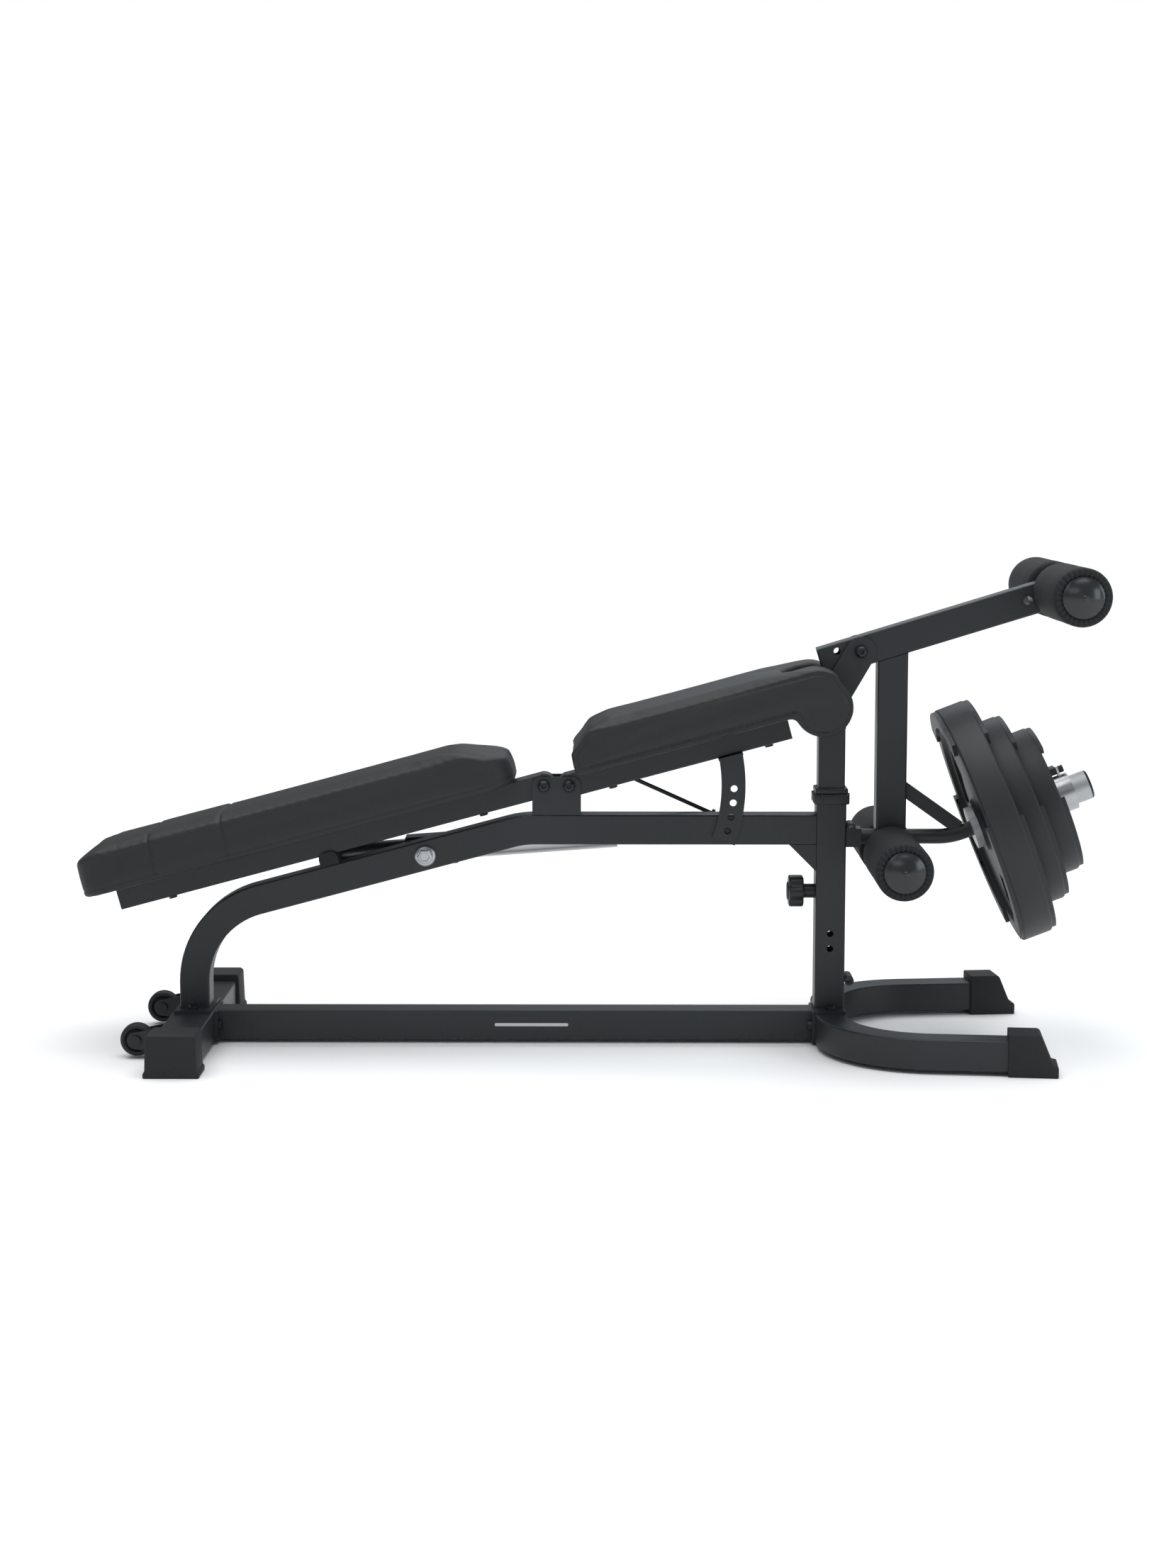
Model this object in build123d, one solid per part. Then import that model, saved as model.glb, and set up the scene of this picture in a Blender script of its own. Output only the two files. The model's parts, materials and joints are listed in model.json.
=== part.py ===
from build123d import *
from math import atan2, cos, degrees, hypot, radians, sin, tan
import os

# Adjustable flat / incline / decline bench with a plate-loaded leg developer.
# Millimetres. X runs along the bench, + towards the leg developer. Y runs across it,
# Z is up, and the feet stand on Z = 0.

# ---- driving dimensions -------------------------------------------------------------
WALL = 2.5                 # wall of the structural tubes
CORNER = 3.0               # outside corner radius of square tube
FRAME = 50.0               # side of the main frame's square tube
FRAME_LIFT = 7.5           # underside of the floor members above the floor
FRAME_TOP = FRAME_LIFT + FRAME
FLANGE = 5.0               # thickness of the bolted flanges and foot plates

POST_X = 410.0             # centre of the front post
POST_TOP = 425.0
POST_HOLES = (163.0, 188.5)     # cross holes in the post
RAIL_Z = 364.5             # centre of the level part of the frame tube
RAIL_TOP = RAIL_Z + FRAME / 2
BEND_X = -106.0            # where the frame tube starts to slope down
SLOPE = 15.0               # slope of the frame tube, backrest and seat, degrees
BEND_RADIUS = 150.0
REAR_X = -660.0            # centre of the rear leg and of the rear cross tube
REAR_RADIUS = 145.0

CROSS_WIDTH = 70.0         # rear cross tube, along X
CROSS_HALF = 275.0         # half of its length
REAR_CAP_HALF = 283.0      # outer face of the rear foot caps
U_RADIUS = 165.0           # centreline radius of the front U foot
U_SPLAY = 6.0              # each leg of the U opens outwards, degrees
U_CORNER_Y = 208.6
U_END_X = 720.0
U_END_Y = U_CORNER_Y + (U_END_X - POST_X) * tan(radians(U_SPLAY))

PIVOT_Z = 438.5            # height of the two bracket pivots
BACK_PIVOT_X = -70.5
SEAT_PIVOT_X = -28.0
PIVOT_BOLT_R = 6.0
RUNNING = 0.05             # radial clearance of a pin in its hole
EAR_GAP = 41.0             # between the ears of the hinge bracket
EAR = 4.5                  # thickness of each ear
PAD_TUBE = 40.0            # square tube under the pads

BACK_TUBE_END = 741.0      # along the backrest from its pivot
BACK_PAD_HALF = 105.0
SEAT_TUBE_END = 380.0
SEAT_PAD_HALF = 120.0
SLOT_HALF = 35.0           # slot in the seat's front roll
PAD_BASE = 21.0            # underside of the pads above the tube's centreline
PAD_TOP = 95.0

STRUT_R = 20.0             # chrome strut tube
STRUT_LENGTH = 500.0
STRUT_PIN_R = 6.0
SLEEVE_PIN = 30.0          # lock pin, along the strut from the sleeve's bolt
STRUT_Y = 54.0             # the strut runs beside the frame tube
STRUT_BOLT_X = -269.3      # bolt that carries the strut's sleeve
STRUT_BOLT_Z = 320.5
STRUT_BOLT_R = 8.0
STRUT_SLOPE = 4.2
STRUT_REACH = 164.0        # from the lug pin to the sleeve's bolt, pads lowered
SLEEVE_SIDE = 50.0
LUG_PLATE_Y = 26.0         # inner face of the backrest's strut lug
LUG_PLATE = 5.0            # its thickness
REST_ALONG = -381.0        # where the lowered backrest lies, along from its pivot

ARC_HOLE_R = 275.0         # hole circle of the seat bracket, about the seat pivot
ARC_INNER = 254.0
ARC_OUTER = 294.0
ARC_STEP = 5.0
PIN_ANGLE = -15.8          # lowest hole, where the pin stands, degrees
PIN_R = 5.0
STAY_Y = 33.0              # the stay rod runs beside the frame tube
STAY_R = 3.5
STAY_LENGTH = 168.0
STAY_TOP = (96.0, -14.0)   # pin of the stay rod, along and above the seat tube
STAY_SLOPE = -24.2
GUIDE_X = 214.0            # eye that the stay rod runs through

UPRIGHT = 44.4             # square tube that slides in the post
UPRIGHT_LOW = 200.0
UPRIGHT_TOP = 588.0
KNOB_Z = 258.0

ARM_PIVOT_X = 455.6
ARM_PIVOT_Z = 663.0
ARM_SLOPE = 17.0
ARM_DEPTH = 50.0
ARM_WIDTH = 44.0
ARM_REAR = -67.5
ARM_REAR_HOLE = (-37.0, 12.0)   # small hole near the arm's rear end, along and above its axis
ARM_FRONT = 366.0
UPPER_ROD = 343.0          # along the arm from its pivot
SPARE_SLEEVE = 288.0
SPARE_R = 10.5             # outside of the spare cross sleeve
DROP_X = 509.8             # centre of the arm's drop tube
HORN_Z = 351.0
HORN_R = 12.7
HORN_START_X = 461.0
HORN_BEND_X = 612.2
HORN_BEND_RADIUS = 120.0
HORN_SLOPE = 21.1
HORN_END = 49.0            # from the horn's bend to the plates' seating face
LOWER_ROD_Z = 325.6

ROLLER_R = 47.0
ROLLER_INNER = 28.0
ROLLER_OUTER = 236.0
ROD_R = 8.0
CORE_R = 12.5
DOME_R = 33.0

SLEEVE_R = 24.7            # weight sleeve
SLEEVE_LENGTH = 195.0
BORE_R = 25.2              # bores of the plates and the collar
PLATE_GAP = 0.3
PLATES = {"plate_large": (206.0, 51.0), "plate_medium": (162.0, 40.0), "plate_small": (125.5, 40.0)}
PLATE_RECESS = 9.0
GRIP_TURNS = (60, 180, 300)     # places of the hand slots round each plate, degrees
COLLAR_R = 37.0
COLLAR_WIDTH = 36.0
COLLAR_LEVER = 15.0        # middle of the lever, from the collar's inner face
LEVER_HEIGHT = 41.0        # lever's pin above the sleeve's axis
LEVER_HALF = 6.5           # half of the lever's width and of its height

WHEEL_X = -739.0
WHEEL_Y = 131.0
WHEEL_Z = 31.0
WHEEL_R = 27.0
WHEEL_WIDTH = 22.0


# ---- helpers ------------------------------------------------------------------------
def block(x0, x1, y0, y1, z0, z1):
    centre = ((x0 + x1) / 2, (y0 + y1) / 2, (z0 + z1) / 2)
    return Pos(*centre) * Box(x1 - x0, y1 - y0, z1 - z0)


def rod_y(x, z, radius, y0, y1):
    """A cylinder along Y from y0 to y1."""
    return Pos(x, (y0 + y1) / 2, z) * Rot(90, 0, 0) * Cylinder(radius, y1 - y0)


def rod_x(y, z, radius, x0, x1):
    return Pos((x0 + x1) / 2, y, z) * Rot(0, 90, 0) * Cylinder(radius, x1 - x0)


def ring_y(x, z, outer, inner, y0, y1):
    return rod_y(x, z, outer, y0, y1) - rod_y(x, z, inner, y0 - 1, y1 + 1)


def plate_xz(points, y0, y1):
    """A flat plate with its outline in the XZ plane."""
    outline = [(x, y0, z) for x, z in points]
    return extrude(make_face(Polyline(*outline, close=True)), y1 - y0, dir=(0, 1, 0))


def hex_bolt(radius, thickness):
    """A hexagon head standing on Z = 0."""
    return extrude(RegularPolygon(radius, 6), thickness)


def square_tube(length, width, height):
    """A tube along X, centred on the origin: width along Y, height along Z."""
    outer = fillet(Box(length, width, height).edges().filter_by(Axis.X), CORNER)
    return outer - Box(length + 2, width - 2 * WALL, height - 2 * WALL)


def tube_between(x0, x1, width, height):
    """A square tube along X between two stations, on the local centreline."""
    return Pos((x0 + x1) / 2, 0, 0) * square_tube(x1 - x0, width, height)


def upright_tube(x, z0, z1, side_x, side_y):
    return Pos(x, 0, (z0 + z1) / 2) * Rot(0, 90, 0) * square_tube(z1 - z0, side_y, side_x)


def swept_frame_tube(path, start, direction):
    """The main frame's square tube swept along a path of lines and arcs."""
    plane = Plane(origin=start, z_dir=direction, x_dir=(0, 1, 0) if direction[1] == 0 else (0, 0, 1))
    outer = sweep(plane * RectangleRounded(FRAME, FRAME, CORNER), path=path)
    inner = sweep(plane * Rectangle(FRAME - 2 * WALL, FRAME - 2 * WALL), path=path)
    return outer - inner


def mirror_y(shape):
    return mirror(shape, about=Plane.XZ)


def both_sides(shape):
    return Compound([shape, mirror_y(shape)])


def place(x, z, slope):
    """A frame at (x, z) whose local X climbs towards +X at the given slope."""
    return Location((x, 0, z), (0, -slope, 0))


def point_on(location, along, above):
    """World x and z of a point given along and above a placed frame."""
    spot = (location * Pos(along, 0, above)).position
    return spot.X, spot.Z


def local_in(location, x, z):
    """A world point expressed along and above a placed frame."""
    spot = (location.inverse() * Pos(x, 0, z)).position
    return spot.X, spot.Z


# ---- frames and points worked out from the dimensions -------------------------------
BACK_FRAME = place(BACK_PIVOT_X, PIVOT_Z, SLOPE)
SEAT_FRAME = place(SEAT_PIVOT_X, PIVOT_Z, SLOPE)
ARM_FRAME = place(ARM_PIVOT_X, ARM_PIVOT_Z, ARM_SLOPE)
HORN_AXIS = (cos(radians(HORN_SLOPE)), 0, sin(radians(HORN_SLOPE)))
WEIGHT_X = HORN_BEND_X + HORN_END * HORN_AXIS[0]
WEIGHT_Z = HORN_Z + HORN_END * HORN_AXIS[2]
WEIGHT_FRAME = place(WEIGHT_X, WEIGHT_Z, HORN_SLOPE)
STRUT_FRAME = place(STRUT_BOLT_X, STRUT_BOLT_Z, STRUT_SLOPE)
LUG_X, LUG_Z = point_on(STRUT_FRAME, -STRUT_REACH, 0)
LUG_LOCAL = local_in(BACK_FRAME, LUG_X, LUG_Z)
PIN_X = SEAT_PIVOT_X + ARC_HOLE_R * cos(radians(PIN_ANGLE))
PIN_Z = PIVOT_Z + ARC_HOLE_R * sin(radians(PIN_ANGLE))
STAY_TOP_X, STAY_TOP_Z = point_on(SEAT_FRAME, *STAY_TOP)
GUIDE_Z = STAY_TOP_Z + (GUIDE_X - STAY_TOP_X) * tan(radians(STAY_SLOPE))
ROD_SPOTS = {"upper": point_on(ARM_FRAME, UPPER_ROD, 0), "lower": (DROP_X, LOWER_ROD_Z)}


# ---- base ---------------------------------------------------------------------------
def rear_cross_tube():
    tube = square_tube(2 * CROSS_HALF, CROSS_WIDTH, FRAME)
    return Pos(REAR_X, 0, FRAME_LIFT + FRAME / 2) * Rot(0, 0, 90) * tube


def rear_foot_caps():
    width = 86.0
    height = 70.0
    inner_face = 217.0
    cap = block(REAR_X - width / 2, REAR_X + width / 2, inner_face, REAR_CAP_HALF, 0, height)
    cap = chamfer(cap.edges().filter_by(Axis.X).group_by(Axis.Y)[-1].sort_by(Axis.Z)[-1:], 4)
    cap += block(REAR_X - width / 2 - 2, REAR_X + width / 2 + 2, inner_face, REAR_CAP_HALF, 0, 10)
    half = CROSS_WIDTH / 2
    cap -= block(REAR_X - half, REAR_X + half, inner_face - 1, CROSS_HALF, FRAME_LIFT, FRAME_TOP)
    return both_sides(cap)


def floor_beam():
    x0 = REAR_X + CROSS_WIDTH / 2 + FLANGE
    x1 = POST_X - FRAME / 2 - FLANGE
    return Pos(0, 0, FRAME_LIFT + FRAME / 2) * tube_between(x0, x1, FRAME, FRAME)


def bolting_plates():
    """Flanges of the floor beam, and foot plates under the post and the rear leg."""
    half = 40.0
    low = 4.0
    rear = REAR_X + CROSS_WIDTH / 2
    front = POST_X - FRAME / 2
    spread = 58.0
    top = FRAME_TOP + FLANGE
    plates = [block(rear, rear + FLANGE, -half, half, low, FRAME_TOP),
              block(front - FLANGE, front, -half, half, low, FRAME_TOP),
              block(POST_X - 25, POST_X + 25, -spread, spread, FRAME_TOP, top),
              block(REAR_X - 30, REAR_X + 30, -spread, spread, FRAME_TOP, top)]
    return Compound(plates)


def front_u_foot():
    z = FRAME_LIFT + FRAME / 2
    near = [(U_END_X, -U_END_Y, z), (POST_X, -U_CORNER_Y, z)]
    points = near + [(x, -y, z) for x, y, z in reversed(near)]
    path = FilletPolyline(*points, radius=U_RADIUS)
    direction = (-cos(radians(U_SPLAY)), sin(radians(U_SPLAY)), 0)
    return swept_frame_tube(path, points[0], direction)


def front_foot_caps():
    overlap = 42.0
    width = 58.0
    heel = 38.0
    length = overlap + heel
    profile = [(0, 0), (length, 0), (length, 20), (length - 9, 20), (overlap + 8, 70), (0, 70)]
    cap = plate_xz(profile, -width / 2, width / 2)
    cap -= block(-1, overlap, -FRAME / 2, FRAME / 2, FRAME_LIFT, FRAME_TOP)
    start_x = U_END_X - overlap * cos(radians(U_SPLAY))
    start_y = U_END_Y - overlap * sin(radians(U_SPLAY))
    return both_sides(Pos(start_x, start_y, 0) * Rot(0, 0, U_SPLAY) * cap)


def front_post():
    low = FRAME_TOP + FLANGE
    post = upright_tube(POST_X, low, POST_TOP, FRAME, FRAME)
    for z in POST_HOLES:
        post -= rod_y(POST_X, z, 5.5, -30, 30)
    return post - rod_x(0, KNOB_Z, 9.0, POST_X - 30, POST_X)


def frame_tube():
    """One tube: level under the seat, sloping under the backrest, curving down to the rear foot."""
    fall = (BEND_X - REAR_X) * tan(radians(SLOPE))
    points = [(POST_X - FRAME / 2, 0, RAIL_Z), (BEND_X, 0, RAIL_Z), (REAR_X, 0, RAIL_Z - fall),
              (REAR_X, 0, FRAME_TOP + FLANGE)]
    path = FilletPolyline(*points, radius=[BEND_RADIUS, REAR_RADIUS])
    tube = swept_frame_tube(path, points[0], (-1, 0, 0))
    tube -= rod_y(PIN_X, PIN_Z, PIN_R + RUNNING, -30, 30)
    return tube - rod_y(STRUT_BOLT_X, STRUT_BOLT_Z, STRUT_BOLT_R, -30, 30)


def rail_gusset():
    side = 45.0
    x = POST_X - FRAME / 2
    z = RAIL_Z - FRAME / 2
    plate = plate_xz([(x, z), (x - side, z), (x, z - side)], FRAME / 2 - 6, FRAME / 2 - 1)
    return both_sides(plate)


def post_collar():
    low = 408.0
    lip = 435.0
    half = 29.5
    collar = block(POST_X - half, POST_X + half, -half, half, low, lip)
    collar = fillet(collar.edges().filter_by(Axis.Z), 4)
    collar = chamfer(collar.edges().group_by(Axis.Z)[-1], 3)
    post = FRAME / 2
    collar -= block(POST_X - post, POST_X + post, -post, post, low - 1, POST_TOP)
    slide = UPRIGHT / 2 + 0.4
    return collar - block(POST_X - slide, POST_X + slide, -slide, slide, low, lip + 1)


def hinge_bracket():
    """A channel of two ears that carries the backrest and seat pivots."""
    centre = (BACK_PIVOT_X + SEAT_PIVOT_X) / 2
    half = 40.5
    top = PIVOT_Z + 15
    outline = Pos(centre, 0, (RAIL_TOP + top) / 2) * Box(2 * half, EAR_GAP + 2 * EAR, top - RAIL_TOP)
    outline = fillet(outline.edges().filter_by(Axis.Y).group_by(Axis.Z)[-1], 14)
    bracket = outline - block(centre - 50, centre + 50, -EAR_GAP / 2, EAR_GAP / 2, RAIL_TOP + 4, top + 1)
    for x in (BACK_PIVOT_X, SEAT_PIVOT_X):
        bracket -= rod_y(x, PIVOT_Z, PIVOT_BOLT_R, -30, 30)
    return bracket


def cross_bolt(x, z, radius, half, head, head_r):
    """A bolt along Y with a washer and head at one end and a nut at the other."""
    bolt = rod_y(x, z, radius, -half, half + 0.8 * head)
    for side in (-1, 1):
        bolt += rod_y(x, z, head_r, *sorted((side * half, side * (half + 2))))
    near = Pos(x, -half - 2, z) * Rot(90, 0, 0) * hex_bolt(head_r * 0.8, head)
    nut = Pos(x, half + 2, z) * Rot(-90, 0, 0) * hex_bolt(head_r * 0.8, head)
    return bolt + near + nut


def pivot_bolts():
    """Bolts of the two pads' pivots, and the big flange bolt of the strut's sleeve."""
    half = EAR_GAP / 2 + EAR
    bolts = [cross_bolt(x, PIVOT_Z, PIVOT_BOLT_R, half, 5, 11) for x in (BACK_PIVOT_X, SEAT_PIVOT_X)]
    side = FRAME / 2
    shank = rod_y(STRUT_BOLT_X, STRUT_BOLT_Z, STRUT_BOLT_R, -side, STRUT_Y - STRUT_R - 1)
    washer = rod_y(STRUT_BOLT_X, STRUT_BOLT_Z, 17.0, -side - 3, -side)
    head = Pos(STRUT_BOLT_X, -side - 3, STRUT_BOLT_Z) * Rot(90, 0, 0) * hex_bolt(12, 7)
    return Compound(bolts + [shank + washer + head])


def backrest_rest():
    """Rubber block and two ears on the frame tube that cradle the lowered backrest tube."""
    half = 16.0
    under = -PAD_TUBE / 2
    foot = local_in(BACK_FRAME, BEND_X, RAIL_Z)[1] + FRAME / 2
    rest = block(REST_ALONG - half, REST_ALONG + half, -18, 18, foot, under - 0.3)
    ear = block(REST_ALONG - half, REST_ALONG + half, PAD_TUBE / 2 + 0.6, FRAME / 2, foot, under + 6)
    ear = fillet(ear.edges().filter_by(Axis.Y).group_by(Axis.Z)[-1], 12)
    return BACK_FRAME * Compound([rest, ear, mirror_y(ear)])


def wheel_brackets():
    tube_face = REAR_X - CROSS_WIDTH / 2
    plates = []
    outline = [(tube_face, 12), (tube_face, 54), (WHEEL_X, WHEEL_Z + 14), (WHEEL_X, WHEEL_Z - 14)]
    for inner in (WHEEL_Y - WHEEL_WIDTH / 2 - 5, WHEEL_Y + WHEEL_WIDTH / 2 + 1):
        plate = plate_xz(outline, inner, inner + 4)
        plate += rod_y(WHEEL_X, WHEEL_Z, 14, inner, inner + 4)
        plates.append(plate - rod_y(WHEEL_X, WHEEL_Z, 5.0, inner - 1, inner + 5))
    return Compound(plates + [mirror_y(plate) for plate in plates])


def frame_bolts():
    """Wheel axle bolts, flange bolts and foot plate bolts."""
    y0 = WHEEL_Y - WHEEL_WIDTH / 2 - 5
    y1 = WHEEL_Y + WHEEL_WIDTH / 2 + 5
    axle = rod_y(WHEEL_X, WHEEL_Z, 5.0, y0 - 5, y1 + 5)
    axle += rod_y(WHEEL_X, WHEEL_Z, 9.0, y0 - 5, y0) + rod_y(WHEEL_X, WHEEL_Z, 9.0, y1, y1 + 5)
    rear = REAR_X + CROSS_WIDTH / 2 + FLANGE
    front = POST_X - FRAME / 2 - FLANGE
    beam_z = FRAME_LIFT + FRAME / 2
    flange_y = 33.0
    heads = [Pos(rear, flange_y, beam_z) * Rot(0, 90, 0), Pos(front, flange_y, beam_z) * Rot(0, -90, 0)]
    heads += [Pos(x, 42, FRAME_TOP + FLANGE) for x in (POST_X, REAR_X)]
    solids = [axle] + [head * hex_bolt(8, 7) for head in heads]
    return Compound(solids + [mirror_y(solid) for solid in solids])


def band_peg():
    """A short cross tube behind the post for an exercise band or a hitch pin."""
    x = POST_X + FRAME / 2 + 8
    return ring_y(x, 108, 8, 4.5, -22, 22)


def pin_barrels():
    """Barrels that the post's pull pin and the seat's lock pin slide in."""
    face = POST_X - FRAME / 2
    post = rod_x(0, KNOB_Z, 12, face - 18.5, face) + rod_x(0, KNOB_Z, 9, face - 1, face + WALL)
    post -= rod_x(0, KNOB_Z, PIN_R + RUNNING, face - 20, face + 10)
    side = FRAME / 2
    return Compound([post, ring_y(PIN_X, PIN_Z, 8, PIN_R + RUNNING, side, side + 9)])


def rod_guide():
    """Eye on the far side of the frame tube that the seat's stay rod runs through."""
    eye = Cylinder(STAY_Y - FRAME / 2, 5) - Cylinder(STAY_R + 2.5, 7)
    eye = Pos(GUIDE_X, STAY_Y, GUIDE_Z) * Rot(0, 90 - (STAY_SLOPE + 4.4), 0) * eye
    return eye + block(GUIDE_X - 5, GUIDE_X + 5, FRAME / 2, FRAME / 2 + 1.8, GUIDE_Z - 5, GUIDE_Z + 3)


# ---- backrest -----------------------------------------------------------------------
def pad_tube(start, end, side):
    """A pad's tube along its frame, rounded round the pivot hole."""
    low, high = sorted((start, end))
    tube = tube_between(low, high, PAD_TUBE, PAD_TUBE)
    nose = rod_y(0, 0, PAD_TUBE / 2, -PAD_TUBE / 2, PAD_TUBE / 2)
    nose -= block(min(0, side * 30), max(0, side * 30), -PAD_TUBE, PAD_TUBE, -PAD_TUBE, PAD_TUBE)
    body = tube + nose
    return body - rod_y(0, 0, PIVOT_BOLT_R + RUNNING, -30, 30)


def backrest_tube():
    return BACK_FRAME * pad_tube(-BACK_TUBE_END, 0, -1)


def backrest_pad():
    profile = [(-787, PAD_BASE), (-37, PAD_BASE), (-37, 70), (-120, PAD_TOP), (-752, PAD_TOP), (-787, 86)]
    return BACK_FRAME * plate_xz(profile, -BACK_PAD_HALF, BACK_PAD_HALF)


def backrest_pad_bolts():
    heads = [Pos(along, 0, -PAD_TUBE / 2 - 5) * hex_bolt(7, 5) for along in (-655.0, -111.0)]
    return BACK_FRAME * Compound(heads)


def strut_lug():
    """Lug on the far side of the backrest tube, facing the end pin of the strut."""
    along, above = LUG_LOCAL
    half = 11.0
    outer = LUG_PLATE_Y + LUG_PLATE
    plate = block(along - half, along + half, LUG_PLATE_Y, outer, above, 18)
    plate += rod_y(along, above, half, LUG_PLATE_Y, outer)
    return BACK_FRAME * (plate + block(along - half, along + half, PAD_TUBE / 2, LUG_PLATE_Y, -8, 18))


def strut_tube():
    """Chrome tube: pinned to the backrest at its left end, sliding in the sleeve."""
    start = -STRUT_REACH
    solid = Rot(0, 90, 0) * Cylinder(STRUT_R, STRUT_LENGTH)
    bore = Rot(0, 90, 0) * Cylinder(STRUT_R - 2, STRUT_LENGTH)
    tube = Pos(start - 14 + STRUT_LENGTH / 2, STRUT_Y, 0) * (solid - Pos(28, 0, 0) * bore)
    tube -= rod_y(start, 0, STRUT_PIN_R, STRUT_Y - 30, STRUT_Y + 30)
    for index in range(5):
        tube -= rod_y(SLEEVE_PIN + 50 * index, 0, PIN_R + 0.5, STRUT_Y, STRUT_Y + 30)
    return STRUT_FRAME * tube


def strut_end_pin():
    inner = LUG_PLATE_Y + LUG_PLATE + 0.5
    outer = STRUT_Y + STRUT_R
    pin = rod_y(-STRUT_REACH, 0, STRUT_PIN_R, inner, outer) + rod_y(-STRUT_REACH, 0, 10, outer, outer + 4)
    return STRUT_FRAME * pin


def strut_sleeve():
    """Square sleeve on the flange bolt: the strut slides through its bore."""
    left = -36.0
    right = 50.0
    half = SLEEVE_SIDE / 2
    sleeve = block(left, right, STRUT_Y - half, STRUT_Y + half, -half, half)
    sleeve = fillet(sleeve.edges().filter_by(Axis.X), 6)
    sleeve -= rod_x(STRUT_Y, 0, STRUT_R + 0.4, left - 1, right + 1)
    sleeve -= rod_y(0, 0, STRUT_BOLT_R + RUNNING, 0, STRUT_Y)
    sleeve += ring_y(SLEEVE_PIN, 0, 11, PIN_R, STRUT_Y + half - 1, STRUT_Y + half + 14)
    return STRUT_FRAME * (sleeve - rod_y(SLEEVE_PIN, 0, PIN_R + RUNNING, STRUT_Y + 10, STRUT_Y + half + 20))


def pull_knob(radius, length, pin_length):
    """A lobed knob with its pin: the pin points down from Z = 0, the knob stands above."""
    knob = Pos(0, 0, length / 2) * Cylinder(radius, length)
    for index in range(6):
        knob -= Rot(0, 0, 60 * index) * Pos(radius + 5, 0, length / 2) * Cylinder(8, length + 2)
    knob = knob + Pos(0, 0, length) * Cylinder(radius * 0.55, 4)
    return knob + Pos(0, 0, -pin_length / 2) * Cylinder(PIN_R, pin_length)


def strut_lock_pin():
    face = STRUT_Y + SLEEVE_SIDE / 2 + 14.5
    knob = pull_knob(18, 22, face - STRUT_Y - STRUT_R - 0.5)
    return STRUT_FRAME * Pos(SLEEVE_PIN, face, 0) * Rot(-90, 0, 0) * knob


# ---- seat ---------------------------------------------------------------------------
def seat_tube():
    return SEAT_FRAME * pad_tube(0, SEAT_TUBE_END, 1)


def seat_pad():
    """Pad with a thick front roll, slotted for the leg developer's upright."""
    slab = [(16, PAD_BASE), (440, PAD_BASE), (440, PAD_TOP), (56, PAD_TOP), (15, 60)]
    pad = plate_xz(slab, -SEAT_PAD_HALF, SEAT_PAD_HALF)
    pad += rod_y(439, 22, 50, -SEAT_PAD_HALF, SEAT_PAD_HALF)
    pad += rod_y(435, 41, 54, -SEAT_PAD_HALF, SEAT_PAD_HALF)
    pad -= block(390, 520, -SLOT_HALF, SLOT_HALF, -60, 130)
    return SEAT_FRAME * pad


def seat_arc_bracket():
    """Curved adjuster plate about the seat pivot, with its row of holes, and its weld web."""
    inner = -FRAME / 2 - 0.6
    outer = inner - 4
    top_angle = 14.0
    low_angle = PIN_ANGLE - 4.0
    plate = ring_y(0, 0, ARC_OUTER, ARC_INNER, outer, inner)
    reach = 2 * ARC_OUTER
    wedge = [(0, 0), (reach * cos(radians(low_angle)), reach * sin(radians(low_angle))),
             (reach * cos(radians(top_angle)), reach * sin(radians(top_angle)))]
    plate &= plate_xz(wedge, outer - 1, inner + 1)
    for index in range(4):
        angle = radians(PIN_ANGLE + ARC_STEP * index)
        spot = (ARC_HOLE_R * cos(angle), ARC_HOLE_R * sin(angle))
        plate -= rod_y(*spot, PIN_R + 0.8, outer - 1, inner + 1)
    plate = Pos(SEAT_PIVOT_X, 0, PIVOT_Z) * plate
    under = PAD_TUBE / 2
    plate -= SEAT_FRAME * block(0, 500, -60, 60, -under, 60)
    return plate + SEAT_FRAME * block(ARC_INNER - 2, ARC_OUTER, outer, 20, -under - 4, -under)


def seat_bolts():
    """Pad bolts under the seat tube, and the pin of the stay rod."""
    heads = [Pos(along, 0, -PAD_TUBE / 2 - 5) * hex_bolt(7, 5) for along in (70.0, 340.0)]
    pin = rod_y(*STAY_TOP, 4.0, PAD_TUBE / 2, STAY_Y + 6) + rod_y(*STAY_TOP, 7.0, STAY_Y + 4.5, STAY_Y + 8)
    return SEAT_FRAME * Compound(heads + [pin])


def seat_stay_rod():
    """Stay rod pinned to the far side of the seat tube."""
    frame = place(STAY_TOP_X, STAY_TOP_Z, STAY_SLOPE)
    rod = rod_x(STAY_Y, 0, STAY_R, 0, STAY_LENGTH) - rod_y(0, 0, 7, STAY_Y - 5, STAY_Y + 5)
    return frame * (rod + ring_y(0, 0, 8, 4.0 + RUNNING, STAY_Y - 4, STAY_Y + 4))


def seat_lock_pin():
    """Pin through the frame tube to the arc plate, with its grip on the far side."""
    shoulder = FRAME / 2 + 9.5
    grip = shoulder + 4
    pin = rod_y(PIN_X, PIN_Z, PIN_R, -FRAME / 2 - 0.3, shoulder) + rod_y(PIN_X, PIN_Z, 9, shoulder, grip)
    return pin + rod_y(PIN_X, PIN_Z, 15, grip, grip + 8)


# ---- leg developer ------------------------------------------------------------------
def leg_upright():
    tube = upright_tube(POST_X, UPRIGHT_LOW, UPRIGHT_TOP, UPRIGHT, UPRIGHT)
    return tube - rod_x(0, KNOB_Z, PIN_R + 0.3, POST_X - 30, POST_X)


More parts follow.
